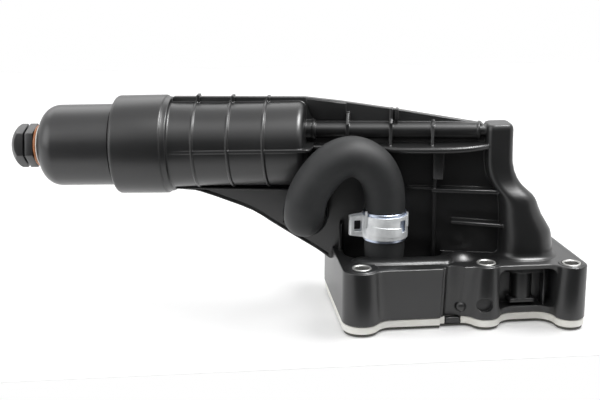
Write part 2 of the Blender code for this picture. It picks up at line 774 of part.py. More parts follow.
def rear_stub():
    """The spigot on the web that carries the hose's other end."""
    seat = REAR_HOSE_END - SEAT_GAP
    tip = REAR_STUB_REACH
    profile = [(-REAR_STUB_BACK, 0.0), (-REAR_STUB_BACK, STUB_COLLAR_R), (seat, STUB_COLLAR_R),
               (seat, STUB_R), (tip - STUB_TAPER[0], STUB_R), (tip, STUB_R - STUB_TAPER[1]), (tip, 0.0)]
    return facing_front(revolve(profile, ROUND_MEDIUM, closed=False))


def inlet_duct(radius, past_top):
    """The slanted duct behind the web, from the inlet chamber up into the canister."""
    foot = (DUCT_FOOT, DUCT_BACK, INLET_TOP - 0.0020)
    top = (DUCT_TOP, DUCT_BACK, axis_height(DUCT_TOP) - BAY_R + past_top)
    return rod_between(foot, top, radius, ROUND_SMALL)


def inlet_center():
    """The inlet chamber stands under the foot of the duct."""
    point = web_frame() @ Vector((DUCT_FOOT, DUCT_BACK, 0.0))
    return point.x, point.y


def front_post():
    """The rounded post at the recess's right end, behind the locating tab."""
    foot = BODY_Z + POCKET_DEPTH / 2.0
    profile = [(foot, 0.0), (foot, POST_FOOT_R)]
    profile += [(TOP_Z + rise, radius) for rise, radius in POST_PROFILE]
    profile.append((TOP_Z + POST_PROFILE[-1][0], 0.0))
    bm = stand(revolve(profile, ROUND_SMALL, closed=False))
    bmesh.ops.translate(bm, verts=bm.verts, vec=(POST_X, POST_Y, 0.0))
    return bm


def locating_tab():
    front = WALLS_FOOT[1] - TAB_PROUD
    outline = rounded(rectangle(TAB_LEFT, TAB_LEFT + TAB_WIDTH, front, front + TAB_THICKNESS), 0.0008, 1)
    return prism(outline, GASKET_Z + SEAT_GAP, BODY_Z + TAB_TOP)


def chamber(x, y, radius, low, high, steps=ROUND_MEDIUM):
    return prism(circle((x, y), radius, steps), low, high)


def window_cut():
    """The pocket in the base's front wall."""
    outline = rectangle(WINDOW_LEFT, WINDOW_RIGHT, BODY_Z + WINDOW_SILL, TOP_Z - WINDOW_LINTEL)
    front = WALLS_TOP[2] - 0.010
    return upright(rounded(outline, WINDOW_CORNER_R, 3), front, WINDOW_BACK_Y)


def window_pillar():
    """The half-round pillar on the window's back wall, from its sill to its lintel."""
    low = WINDOW_LEDGE_Z[1] - 0.0005
    high = TOP_Z - WINDOW_LINTEL + 0.001
    front = arc((WINDOW_PILLAR_X, WINDOW_BACK_Y), WINDOW_PILLAR_R, math.pi, math.tau, 8)
    back = WINDOW_BACK_Y + 0.0010
    outline = front + [(WINDOW_PILLAR_X + WINDOW_PILLAR_R, back), (WINDOW_PILLAR_X - WINDOW_PILLAR_R, back)]
    return prism(outline, low, high)


def window_ledge():
    """The small shelf that the window's pillar stands on."""
    low_x, high_x, front = WINDOW_LEDGE
    outline = rounded(rectangle(low_x, high_x, front, WINDOW_BACK_Y + 0.0010), [0.001, 0.001, 0.0, 0.0], 1)
    return prism(outline, WINDOW_LEDGE_Z[0], WINDOW_LEDGE_Z[1])


def window_fin():
    """The thin upright fin at the window's right."""
    low_x, high_x, front = WINDOW_FIN
    outline = rectangle(low_x, high_x, front, WINDOW_BACK_Y + 0.0010)
    return prism(outline, BODY_Z + WINDOW_SILL - 0.001, TOP_Z - WINDOW_LINTEL + 0.001)


def pocket_outlines():
    return [rounded(rectangle(*sides), POCKET_ROUND, 2) for sides in POCKETS]


def recess_cut():
    """The pocket in the base's top in front of the web, in the web's frame."""
    to_web = web_frame().inverted()
    front = [(RECESS_LEFT, 0.0), (RECESS_LEFT, RECESS_FRONT_Y), (RECESS_RIGHT, RECESS_FRONT_Y),
             (RECESS_RIGHT, 0.0)]
    plate = -WEB_THICKNESS / 4.0
    corners = []
    for x, y in front:
        local = to_web @ Vector((x, y, 0.0))
        corners.append((local.x, local.y))
    corners[0] = (corners[0][0] + 0.0012, plate)
    corners[3] = (corners[3][0], plate)
    outline = rounded(corners, [0.0, 0.012, 0.006, 0.0], 5)
    return prism(outline, TOP_Z - RECESS_DEPTH, TOP_Z + 0.003)


def valve_chamber(center, low, roof, top):
    """A port's chamber: wide round the valve, narrow above the shoulder that its spring bears on."""
    return [chamber(center[0], center[1], OUTLET_R, low, roof),
            chamber(center[0], center[1], RISER_R, roof - 0.001, top, ROUND_SMALL)]


def column_passages():
    """The slanted riser from the outlet chamber, and the bore on to the oil pipe."""
    knee = Vector((RISER_KNEE[0], COLUMN_Y, RISER_KNEE[1]))
    start = Vector((OUTLET_X, COLUMN_Y, OUTLET_TOP - 0.004))
    end = Vector((knee.x, knee.y, pipe_line(PIPE_BORE_ENDS[1])))
    slack = (knee - start).normalized() * 0.0020
    return [rod_between(start, knee + slack, RISER_R, ROUND_SMALL),
            rod_between(knee - Vector((0.0, 0.0, 0.0030)), end, RISER_R, ROUND_SMALL)]


def housing_joined(canister, web):
    """All solids of the body except the base block."""
    solids = [boss_pad(*place) for place in BOSSES.values()]
    solids += [column(), locating_tab(), front_post(), foot_stub()]
    end_boss = rod(END_BOSS_R, -0.002, END_BOSS_LENGTH, ROUND_MEDIUM)
    solids += [placed(bm, canister) for bm in (canister_shell(), seam_rib(), end_boss)]
    plate = [web_plate(), keel_lip(), oil_pipe(PIPE_R, *PIPE_ENDS), shelf(), gusset(),
             rear_stub(), inlet_duct(DUCT_R, 0.0020)]
    solids += [placed(bm, web) for bm in plate + web_ribs() + rear_ribs()]
    return solids


def housing_cuts(canister, web):
    """The bay, the ports, the oil and coolant passages, the bolt holes and the pockets."""
    below = -0.0010
    bay_end = -TUBE_END_WALL
    bores = [rod(BAY_R, SKIRT_X - 0.001, bay_end, ROUND_LARGE),
             rod(COLLAR_BORE_R, MOUTH_X - 0.002, SKIRT_X + SEAT_GAP, ROUND_LARGE),
             rod(STANDPIPE_R - STANDPIPE_WALL, bay_end - 0.001, END_BOSS_LENGTH - 0.003, ROUND_SMALL)]
    cuts = [placed(bm, canister) for bm in bores]
    rear_bore = facing_front(rod(STUB_BORE_R, -REAR_STUB_BACK - 0.002, REAR_STUB_REACH + 0.002, ROUND_SMALL))
    in_web = [oil_pipe(PIPE_BORE_R, *PIPE_BORE_ENDS), inlet_duct(DUCT_BORE_R, 0.0060), rear_bore]
    cuts += [placed(bm, web) for bm in in_web]
    cuts += valve_chamber((OUTLET_X, COLUMN_Y), below, OUTLET_ROOF, OUTLET_TOP) + column_passages()
    cuts += valve_chamber(inlet_center(), below, INLET_ROOF, INLET_TOP)
    cuts.append(chamber(FOOT_STUB_X, FOOT_STUB_Y, STUB_BORE_R, 0.0, FOOT_STUB_TOP + 0.002))
    cuts.append(chamber(FOOT_STUB_X, FOOT_STUB_Y, COOLANT_PORT_R, below, BODY_Z + COOLANT_PORT_DEPTH))
    cuts += [chamber(x, y, LIMITER_R + SEAT_GAP, below, TOP_Z + 0.004, ROUND_SMALL) for x, y, _ in BOSSES.values()]
    cuts += [prism(outline, below, BODY_Z + POCKET_DEPTH) for outline in pocket_outlines()]
    cuts.append(window_cut())
    return cuts


def housing_body(canister, web):
    body = add_object("housing_body", base_block(), "black_nylon")
    # The recess is cut before the other forms are joined, so that the spigot stands in it.
    combine(body, [placed(recess_cut(), web)], "DIFFERENCE")
    combine(body, housing_joined(canister, web), "UNION")
    combine(body, housing_cuts(canister, web), "DIFFERENCE")
    combine(body, [window_pillar(), window_ledge(), window_fin()], "UNION")
    return body


# Flange pieces


def tab_notch(low, high):
    """Room for the locating tab in the gasket's front edge."""
    front = WALLS_FOOT[1] - TAB_PROUD
    return prism(rectangle(TAB_LEFT - SEAT_GAP, TAB_LEFT + TAB_WIDTH + SEAT_GAP,
                           front - 0.003, front + TAB_THICKNESS + SEAT_GAP), low, high)


def flange_sheet(name, low, high, inset, notched, material_name):
    """A sheet that follows the foot of the base and its bosses, open at every hole and port."""
    outline = base_outline(WALLS_FOOT, FILLETS_FOOT, inset)
    sheet = add_object(name, prism(outline, low, high), material_name)
    below = low - 0.001
    above = high + 0.001
    holes = [chamber(x, y, LIMITER_R + SEAT_GAP, below, above, ROUND_SMALL) for x, y, _ in BOSSES.values()]
    ports = ((OUTLET_X, COLUMN_Y, OUTLET_R), inlet_center() + (OUTLET_R,),
             (FOOT_STUB_X, FOOT_STUB_Y, COOLANT_PORT_R))
    holes += [chamber(x, y, radius, below, above) for x, y, radius in ports]
    holes += [prism(outline, below, above) for outline in pocket_outlines()]
    if notched:
        holes.append(tab_notch(below, above))
    combine(sheet, holes, "DIFFERENCE")
    return sheet


def compression_limiter(name, x, y):
    low = SEAL_THICKNESS + SEAT_GAP
    high = TOP_Z + LIMITER_PROUD
    edge = 0.0004
    profile = [(low, LIMITER_BORE_R), (low, LIMITER_R), (high - edge, LIMITER_R),
               (high, LIMITER_R - edge), (high, LIMITER_BORE_R + edge), (high - edge, LIMITER_BORE_R)]
    bm = stand(revolve(profile, ROUND_SMALL))
    bmesh.ops.translate(bm, verts=bm.verts, vec=(x, y, 0.0))
    return add_object("compression_limiter_" + name, bm, "limiter_steel")


# Hose and clamps


def hose_route():
    """Centre line of the hose in the web's frame, from the foot spigot to the spigot on the web."""
    foot = web_frame().inverted() @ Vector((FOOT_STUB_X, FOOT_STUB_Y, HOSE_FOOT_Z))
    top = HOSE_TOP_Z
    elbow = -HOSE_ELBOW_START - HOSE_ELBOW_R
    route = [
        foot,
        foot + Vector((0.0, 0.0, HOSE_STRAIGHT * 0.5)),
        foot + Vector((0.0, 0.0, HOSE_STRAIGHT)),
        Vector((0.0545, -0.0181, top - 0.0270)),
        Vector((0.0531, -0.0193, top - 0.0175)),
        Vector((0.0490, -0.0208, top - 0.0088)),
        Vector((0.0428, -0.0225, top - 0.0030)),
        Vector((0.0355, -0.0243, top)),
        Vector((0.0280, -0.0262, top - 0.0009)),
        Vector((0.0205, -0.0283, top - 0.0052)),
        Vector((0.0138, -0.0305, top - 0.0124)),
        Vector((0.0092, elbow + 0.0005, top - 0.0195)),
    ]
    for k in range(5):
        turn = math.radians(22.5 * k)
        route.append(Vector((REAR_STUB_U + 0.0034 * (1.0 - math.sin(turn)),
                             -HOSE_ELBOW_START - HOSE_ELBOW_R * math.cos(turn),
                             REAR_STUB_Z + HOSE_ELBOW_R * (1.0 - math.sin(turn)))))
    route.append(Vector((REAR_STUB_U, -REAR_HOSE_END, REAR_STUB_Z)))
    return route


def swept_rings(route, radius, steps):
    """Rings square to a route, turned as little as possible from one to the next."""
    rings = []
    side = Vector((0.0, -1.0, 0.0))
    for i, point in enumerate(route):
        before = route[max(i - 1, 0)]
        after = route[min(i + 1, len(route) - 1)]
        along = (after - before).normalized()
        if i == 0:
            along = Vector((0.0, 0.0, 1.0))
        if i == len(route) - 1:
            along = Vector((0.0, 1.0, 0.0))
        side = (side - along * side.dot(along)).normalized()
        other = along.cross(side)
        rings.append([point + side * (radius * math.cos(math.tau * k / steps))
                      + other * (radius * math.sin(math.tau * k / steps)) for k in range(steps)])
    return rings


def coolant_hose(web):
    route = hose_route()
    outer = swept_rings(route, HOSE_R, ROUND_MEDIUM)
    inner = swept_rings(route, HOSE_BORE_R, ROUND_MEDIUM)
    bm = skin(outer + inner[::-1], cyclic=True)
    return add_object("coolant_hose", placed(bm, web), "hose_rubber")


def band(radius, thickness, width, steps=ROUND_LARGE):
    """A plain ring round the z axis, centred on the origin."""
    profile = [(-width / 2.0, radius), (-width / 2.0, radius + thickness),
               (width / 2.0, radius + thickness), (width / 2.0, radius)]
    return stand(revolve(profile, steps))


def keyhole(radius, half_gap, reach, steps=28):
    """A circle round the origin that opens on the -x side into a narrow loop."""
    turn = math.pi - math.asin(half_gap / radius)
    points = arc((0.0, 0.0), radius, turn, -turn, steps)
    return points + [Vector((-reach, -half_gap)), Vector((-reach, half_gap))]


def clamp_radius():
    """Outside radius of a closed clamp."""
    return HOSE_R + SEAT_GAP * 2.0 + CLAMP_LINER_THICKNESS + CLAMP_THICKNESS


def clamp_band(width):
    """A band that closes round the hose and folds out into an ear loop on the -x side."""
    outer = clamp_radius()
    inner = outer - CLAMP_THICKNESS
    half = width / 2.0
    reach = outer + CLAMP_EAR_REACH
    gap = CLAMP_EAR_GAP / 2.0
    outside = keyhole(outer, gap + CLAMP_THICKNESS, reach)
    inside = keyhole(inner, gap, reach - CLAMP_THICKNESS)
    rings = [[Vector((p.x, p.y, z)) for p in path]
             for path, z in ((outside, -half), (outside, half), (inside, half), (inside, -half))]
    return skin(rings, cyclic=True)


def clamp_window(height):
    """The opening that a pair of pliers grips in the ear."""
    outer = clamp_radius()
    left = -outer - CLAMP_EAR_REACH + CLAMP_EAR_RIM
    outline = rectangle(left, -outer - 0.0006, -height / 2.0, height / 2.0)
    return upright(outline, -CLAMP_EAR_GAP, CLAMP_EAR_GAP)


def hose_clamp(name, frame, sizes):
    width, liner_width, window = sizes
    obj = add_object("hose_clamp_" + name, placed(clamp_band(width), frame), "zinc")
    combine(obj, [placed(clamp_window(window), frame)], "DIFFERENCE")
    liner = band(HOSE_R + SEAT_GAP, CLAMP_LINER_THICKNESS, liner_width)
    add_object("clamp_liner_" + name, placed(liner, frame), "liner_steel")
    return obj


# Filter element


def pleated_ring(low, high):
    """Folded filter paper as one closed zigzag wall."""
    half = PLEAT_THICKNESS / 2.0
    step = math.tau / PLEATS
    folds = []
    for i in range(PLEATS):
        folds.append((ELEMENT_R - PLEAT_MARGIN - half, step * i))
        folds.append((ELEMENT_INNER_R + PLEAT_MARGIN + half, step * (i + 0.5)))

    def ring(x, offset):
        return [Vector((x, (r + offset) * math.cos(a), (r + offset) * math.sin(a))) for r, a in folds]

    return skin([ring(low, half), ring(high, half), ring(high, -half), ring(low, -half)], cyclic=True)


def tube_ring(low, high, inner, outer, steps):
    """A plain turned ring along the x axis."""
    return revolve([(low, inner), (low, outer), (high, outer), (high, inner)], steps)


def cross_slots(center, length, width, reach):
    """Two flat bars, crossed, that cut four slots into a pipe's wall."""
    outline = rectangle(center - length / 2.0, center + length / 2.0, -width / 2.0, width / 2.0)
    return [upright(outline, -reach, reach), prism(outline, -reach, reach)]


def element_core(low, high, parent):
    """The perforated tube that keeps the paper from collapsing."""
    core = add_object("element_core", tube_ring(low, high, CORE_R - CORE_WALL, CORE_R, 16), "grey_nylon", parent)
    slots = []
    for i in range(CORE_SLOTS):
        center = low + (high - low) * (i + 0.5) / CORE_SLOTS
        slots += cross_slots(center, CORE_SLOT_LENGTH, CORE_SLOT_WIDTH, CORE_R + 0.002)
    combine(core, slots, "DIFFERENCE")


def element_grommet(place, parent):
    """The rubber ring in the inner end cap that runs on the standpipe."""
    low = STANDPIPE_R + RUN_GAP
    high = CORE_R - CORE_WALL - SEAT_GAP
    middle = (low + high) / 2.0
    half = (high - low) / 2.0
    profile = [(place + p.x * GROMMET_LENGTH / 2.0, middle + p.y * half) for p in circle((0.0, 0.0), 1.0, 6)]
    add_object("element_grommet", revolve(profile, ROUND_MEDIUM), "black_rubber", parent)


def filter_element(parent):
    low = ELEMENT_LOW_X
    high = ELEMENT_HIGH_X
    inside_low = low + END_CAP_THICKNESS + SEAT_GAP
    inside_high = high - END_CAP_THICKNESS - SEAT_GAP
    bore = CORE_R - CORE_WALL
    add_object("filter_media", pleated_ring(inside_low, inside_high), "filter_paper", parent)
    element_core(inside_low, inside_high, parent)
    for name, start in (("element_end_cap_outer", low), ("element_end_cap_inner", high - END_CAP_THICKNESS)):
        ring = tube_ring(start, start + END_CAP_THICKNESS, bore, ELEMENT_R, ROUND_LARGE)
        add_object(name, ring, "grey_nylon", parent)
    element_grommet(high - END_CAP_THICKNESS / 2.0, parent)


def standpipe(parent):
    """The slotted centre pipe that the element slides over, pressed against the bay's end."""
    foot = -TUBE_END_WALL - SEAT_GAP
    tip = foot - STANDPIPE_LENGTH
    inner = STANDPIPE_R - STANDPIPE_WALL
    flange = foot - STANDPIPE_FLANGE_THICKNESS
    profile = [(foot, inner), (foot, STANDPIPE_FLANGE_R), (flange, STANDPIPE_FLANGE_R),
               (flange, STANDPIPE_R), (tip + STANDPIPE_TAPER[0], STANDPIPE_R),
               (tip, STANDPIPE_R - STANDPIPE_TAPER[1]), (tip, inner)]
    pipe = add_object("filter_standpipe", revolve(profile, 16), "grey_nylon", parent)
    slots = []
    for i in range(STANDPIPE_SLOTS):
        center = foot - STANDPIPE_LENGTH * (i + 1.0) / (STANDPIPE_SLOTS + 0.7)
        outline = rectangle(center - STANDPIPE_SLOT_LENGTH / 2.0, center + STANDPIPE_SLOT_LENGTH / 2.0,
                            -STANDPIPE_SLOT_WIDTH / 2.0, STANDPIPE_SLOT_WIDTH / 2.0)
        slots.append(upright(outline, -STANDPIPE_FLANGE_R, STANDPIPE_FLANGE_R))
    combine(pipe, slots, "DIFFERENCE")


# Cap, hexagon drive and drain plug


def o_ring(name, place, inner, section, material_name, parent, steps=ROUND_LARGE):
    """A round-section ring whose inside radius and thickness are given."""
    radius = section / 2.0
    profile = [(place + p.x, inner + radius + p.y) for p in circle((0.0, 0.0), radius, 6)]
    return add_object(name, revolve(profile, steps), material_name, parent)


def hexagon(across_flats, turn):
    """Corner points of the hexagon in y and z."""
    corner = across_flats / 2.0 / math.cos(math.pi / 6.0)
    return [(corner * math.cos(turn + math.pi / 3.0 * k), corner * math.sin(turn + math.pi / 3.0 * k))
            for k in range(6)]


def along_axis(outline, low, high):
    """An outline in y and z, extruded along the canister's axis."""
    bm = prism(outline, low, high)
    for vert in bm.verts:
        y, z, x = vert.co
        vert.co = (x, y, z)
    return bm


def filter_cap(parent):
    """The domed screw cap: outside profile, then back along the inside."""
    groove = MOUTH_X + CAP_RING_PLACE
    half = CAP_RING_GROOVE_WIDTH / 2.0
    floor = CAP_R - CAP_RING_GROOVE_DEPTH
    inner = CAP_R - CAP_WALL
    middle = (DOME_X + CAP_DOME_ROUND, CAP_R - CAP_DOME_ROUND)
    neck = DRIVE_NECK_R + SEAT_GAP
    profile = [(DOME_X, neck)]
    profile += arc(middle, CAP_DOME_ROUND, math.pi, math.pi / 2.0, 6)
    profile += [(groove - half, CAP_R), (groove - half, floor), (groove + half, floor), (groove + half, CAP_R),
                (SKIRT_X - CAP_SKIRT_BEVEL, CAP_R), (SKIRT_X, CAP_R - CAP_SKIRT_BEVEL), (SKIRT_X, inner)]
    bulge = floor - CAP_GROOVE_WALL
    profile += [(groove + half + CAP_GROOVE_SLOPE, inner), (groove + half, bulge), (groove - half, bulge),
                (groove - half - CAP_GROOVE_SLOPE, inner)]
    profile += arc(middle, CAP_DOME_ROUND - CAP_WALL, math.pi / 2.0, math.pi, 4)
    profile += [(DOME_X + CAP_WALL, neck)]
    add_object("filter_cap", revolve(profile, ROUND_LARGE), "cap_nylon", parent)
    section = CAP_RING_GROOVE_DEPTH - SEAT_GAP
    o_ring("cap_o_ring", groove, floor + SEAT_GAP, section, "black_rubber", parent)


def drive_hex(parent):
    """The hexagon under the plug's head, with its neck through the dome and a lip behind it."""
    hexagonal = along_axis(hexagon(HEX_ACROSS_FLATS, HEX_ANGLE), DRIVE_FACE_X, DRIVE_SEAT_X)
    body = add_object("drive_hex", hexagonal, "cap_nylon", parent)
    neck = rod(DRIVE_NECK_R, DRIVE_SEAT_X - 0.002, DRIVE_LIP_X + 0.0001, ROUND_MEDIUM)
    lip = rod(DRIVE_NECK_R + DRIVE_LIP, DRIVE_LIP_X, DRIVE_LIP_X + DRIVE_LIP_THICKNESS, ROUND_MEDIUM)
    combine(body, [neck, lip], "UNION")
    rim = DRIVE_SEAT_X - DRIVE_RIM
    groove = tube_ring(rim - DRIVE_RIM_GROOVE, rim, HEX_ACROSS_FLATS / 2.0 + HEX_CORNER_TRIM, 0.03, ROUND_MEDIUM)
    bore = rod(PLUG_SHANK_R + RUN_GAP, DRIVE_FACE_X - 0.002, DRIVE_LIP_X + 0.006, ROUND_MEDIUM)
    combine(body, [groove, bore], "DIFFERENCE")
    o_ring("drive_hex_o_ring", DOME_X - SEAT_GAP - DRIVE_RING_SECTION / 2.0, DRIVE_NECK_R + SEAT_GAP,
           DRIVE_RING_SECTION, "amber_rubber", parent, ROUND_MEDIUM)


def plug_head_shave(front):
    """What is turned off the plug's head to leave its domed chamfer."""
    corner = HEX_ACROSS_FLATS / 2.0 / math.cos(math.pi / 6.0)
    outside = corner + 0.005
    clear = front - 0.004
    shave = [(clear, 0.0)]
    for p in arc((front + PLUG_HEAD_DOME_R, 0.0), PLUG_HEAD_DOME_R, math.pi, math.pi * 0.62, 6):
        shave.append((p.x - 0.0001, p.y * 1.24))
    shave += [(shave[-1][0], outside), (clear, outside)]
    return revolve(shave, ROUND_LARGE, closed=False)


def drain_plug(parent):
    """Hexagon head with a domed chamfer, a flange that shows as a groove, and the shank."""
    head_back = DRIVE_FACE_X - PLUG_GROOVE
    head_front = head_back - PLUG_HEAD_LENGTH
    hexagonal = along_axis(hexagon(HEX_ACROSS_FLATS, HEX_ANGLE), head_front, head_back)
    plug = add_object("drain_plug", hexagonal, "cap_nylon", parent)
    ring_at = DRIVE_FACE_X + PLUG_RING_PLACE
    half = PLUG_RING_GROOVE_WIDTH / 2.0
    floor = PLUG_SHANK_R - PLUG_RING_GROOVE_DEPTH
    tip = DRIVE_FACE_X + PLUG_SHANK_LENGTH
    seat = DRIVE_FACE_X - SEAT_GAP
    shank = [(head_back - 0.001, 0.0), (head_back - 0.001, PLUG_FLANGE_R), (seat, PLUG_FLANGE_R),
             (seat, PLUG_SHANK_R), (ring_at - half, PLUG_SHANK_R), (ring_at - half, floor),
             (ring_at + half, floor), (ring_at + half, PLUG_SHANK_R), (tip - PLUG_SHANK_BEVEL, PLUG_SHANK_R),
             (tip, PLUG_SHANK_R - PLUG_SHANK_BEVEL), (tip, 0.0)]
    combine(plug, [revolve(shank, ROUND_MEDIUM, closed=False)], "UNION")
    combine(plug, [plug_head_shave(head_front)], "DIFFERENCE")
    section = PLUG_RING_GROOVE_DEPTH - SEAT_GAP
    o_ring("drain_plug_o_ring", ring_at, floor + SEAT_GAP, section, "black_rubber", parent, ROUND_SMALL)


# Valves


def valve_seat(low):
    """The ring pressed into a port's mouth."""
    ring = tube_ring(low, low + VALVE_SEAT_HEIGHT, VALVE_SEAT_HOLE_R, OUTLET_R - SEAT_GAP, ROUND_MEDIUM)
    return stand(ring)


def valve_disc(low):
    """The disc that closes the seat, with the peg that centres its spring."""
    top = low + VALVE_DISC_THICKNESS
    peg = top + VALVE_STEM_LENGTH
    profile = [(low, 0.0), (low, VALVE_DISC_R), (top, VALVE_DISC_R), (top, VALVE_STEM_R), (peg, VALVE_STEM_R),
               (peg, 0.0)]
    return stand(revolve(profile, ROUND_MEDIUM, closed=False))


def spring(low, high, steps_per_turn=8):
    """A helical spring between two heights, with its wire ends cut square."""
    count = SPRING_TURNS * steps_per_turn
    rings = []
    for i in range(count + 1):
        angle = math.tau * i / steps_per_turn
        height = low + SPRING_WIRE_R + (high - low - SPRING_WIRE_R * 2.0) * i / count
        out = Vector((math.cos(angle), math.sin(angle), 0.0))
        center = out * SPRING_R + Vector((0.0, 0.0, height))
        ring = []
        for k in range(4):
            turn = math.tau * k / 4
            ring.append(center + out * (SPRING_WIRE_R * math.cos(turn))
                        + Vector((0.0, 0.0, SPRING_WIRE_R * math.sin(turn))))
        rings.append(ring)
    return skin(rings)


def valve_set(name, center, seat_z, roof):
    place = Matrix.Translation((center[0], center[1], 0.0))
    disc_z = seat_z + VALVE_SEAT_HEIGHT + SEAT_GAP
    coil = spring(disc_z + VALVE_DISC_THICKNESS + SEAT_GAP, roof - SEAT_GAP)
    add_object(name + "_seat", placed(valve_seat(seat_z), place), "valve_steel")
    add_object(name + "_disc", placed(valve_disc(disc_z), place), "valve_steel")
    add_object(name + "_spring", placed(coil, place), "spring_steel")


def hose_clamps(web):
    front_place = Matrix.Translation((FOOT_STUB_X, FOOT_STUB_Y, CLAMP_HEIGHT))
    hose_clamp("front", front_place, CLAMP_FRONT)
    rear_v = -REAR_HOSE_END - CLAMP_REAR[1] / 2.0 - RUN_GAP
    toward_viewer = Matrix.Rotation(math.pi / 2.0, 4, "X") @ Matrix.Rotation(CLAMP_REAR_TURN, 4, "Z")
    rear_place = web @ Matrix.Translation((REAR_STUB_U, rear_v, REAR_STUB_Z)) @ toward_viewer
    hose_clamp("rear", rear_place, CLAMP_REAR)


def build():
    clear_scene()
    canister = canister_frame()
    web = web_frame()
    axis = bpy.data.objects.new("canister_axis", None)
    bpy.context.scene.collection.objects.link(axis)
    axis.matrix_world = canister

    housing_body(canister, web)
    gasket_top = GASKET_Z + GASKET_THICKNESS
    flange_sheet("flange_gasket", GASKET_Z, gasket_top, GASKET_INSET, True, "cream_gasket")
    flange_sheet("flange_seal", 0.0, SEAL_THICKNESS, SEAL_INSET, False, "seal_rubber")
    for name, (x, y, _) in BOSSES.items():
        compression_limiter(name, x, y)
    coolant_hose(web)
    hose_clamps(web)
    standpipe(axis)
    filter_element(axis)
    filter_cap(axis)
    drive_hex(axis)
    drain_plug(axis)
    valve_set("check_valve", (OUTLET_X, COLUMN_Y), BODY_Z + OUTLET_SEAT, OUTLET_ROOF)
    valve_set("bypass_valve", inlet_center(), BODY_Z + INLET_SEAT, INLET_ROOF)


build()
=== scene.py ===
"""Looks of the oil filter housing: moulded body, screw cap, drain plug, coolant hose and flange.

Shapes are worked out in millimetres in the part's own frame and are brought to metres when a
piece is finished.
"""

import math

import bmesh
import bpy
from mathutils import Euler, Matrix, Vector

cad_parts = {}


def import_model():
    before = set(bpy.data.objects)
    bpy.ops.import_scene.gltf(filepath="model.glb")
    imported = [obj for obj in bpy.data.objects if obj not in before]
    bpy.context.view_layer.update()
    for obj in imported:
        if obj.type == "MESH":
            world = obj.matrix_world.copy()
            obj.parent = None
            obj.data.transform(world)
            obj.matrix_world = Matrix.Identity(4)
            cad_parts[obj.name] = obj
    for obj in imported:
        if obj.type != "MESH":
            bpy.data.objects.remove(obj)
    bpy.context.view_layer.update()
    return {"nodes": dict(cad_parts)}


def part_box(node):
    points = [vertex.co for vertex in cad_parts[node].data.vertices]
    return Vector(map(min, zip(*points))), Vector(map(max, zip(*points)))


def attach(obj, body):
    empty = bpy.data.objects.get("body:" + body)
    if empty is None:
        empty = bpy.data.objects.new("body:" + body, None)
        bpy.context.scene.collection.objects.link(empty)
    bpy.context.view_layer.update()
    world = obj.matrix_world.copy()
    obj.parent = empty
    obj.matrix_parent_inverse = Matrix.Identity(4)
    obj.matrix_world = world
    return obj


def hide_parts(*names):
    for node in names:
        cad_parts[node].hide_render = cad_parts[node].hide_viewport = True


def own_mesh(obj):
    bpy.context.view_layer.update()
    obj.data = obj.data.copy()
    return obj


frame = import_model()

# Millimetres in a metre, steps round the larger turned forms, and what a Boolean's result is merged by
MM = 1000.0
WIDE_STEPS = 96
CARVED_MERGE = 0.004

# Frames of the slanted canister and of the upright web plate that carries it
HEADING = math.radians(-13.5)
TILT = math.radians(2.3)
CANISTER_END = Vector((-96.0, 11.5, 111.9))
CANISTER = (Matrix.Translation(CANISTER_END) @ Euler((0.0, -TILT, HEADING)).to_matrix().to_4x4()
            @ Matrix.Translation((3.0, 0.0, 0.0)))
WEB = Matrix.Translation((-96.0, 11.5, 0.0)) @ Matrix.Rotation(HEADING, 4, "Z")
TO_WEB = WEB.inverted()

# Flange stack and base block
SEAL_TOP = 1.6
GASKET_LOW = 1.9
GASKET_TOP = 6.6
FOOT_Z = 6.9
TOP_Z = 41.9

# Stations along the canister, radii about its axis, and the hexagon of drive and plug across its flats
MOUTH_X = -125.4
COLLAR_X = -90.0
DOME_X = -178.0
SKIRT_X = -95.4
CAP_GROOVE_X = MOUTH_X + 9.0
DRIVE_SEAT_X = -180.8
DRIVE_FACE_X = -188.4
RING_PLACES = (-71.3, -48.6, -25.4)
TUBE_R = 27.6
COLLAR_R = 32.3
CAP_R = 26.3
HEX_FLATS = 25.4

# Web: top edge and width of its ribs; oil pipe: place in front of the web's middle and radius
WEB_TOP = 141.9
RIB_WIDTH = 2.0
PIPE_V = -2.0
PIPE_R = 5.4

# Hose and clamps; the foot spigot is placed in the part's frame, the rear one in the web's
HOSE_R = 13.0
HOSE_BORE_R = 9.6
FOOT_STUB = Vector((-46.8, -18.2, 0.0))
REAR_STUB = Vector((3.0, 0.0, 66.8))
CLAMP_Z = 63.5

# Holes through flange and base: start of the cutters, radii, and the outlet under the column
CUT_LOW = -1.0
BOLT_BORE_R = 6.55
PORT_R = 9.2
STUB_BORE_R = 8.0
OUTLET = (43.2, -18.5)
INLET_PLACE = (37.5, 7.5)

# How far the pieces in the front window reach back; its rear wall stands 1 mm in front of that
WINDOW_BACK = -28.0

# In metres: the point that the lights face
PART_MIDDLE = Vector((-0.05, 0.0, 0.06))


# outlines


def arc(center, radius, start, end, steps):
    """Points on an arc, angles in degrees, both ends included."""
    points = []
    for i in range(steps + 1):
        turn = math.radians(start + (end - start) * i / steps)
        points.append((center[0] + radius * math.cos(turn), center[1] + radius * math.sin(turn)))
    return points


def rectangle(low_x, high_x, low_y, high_y):
    return [(low_x, low_y), (high_x, low_y), (high_x, high_y), (low_x, high_y)]


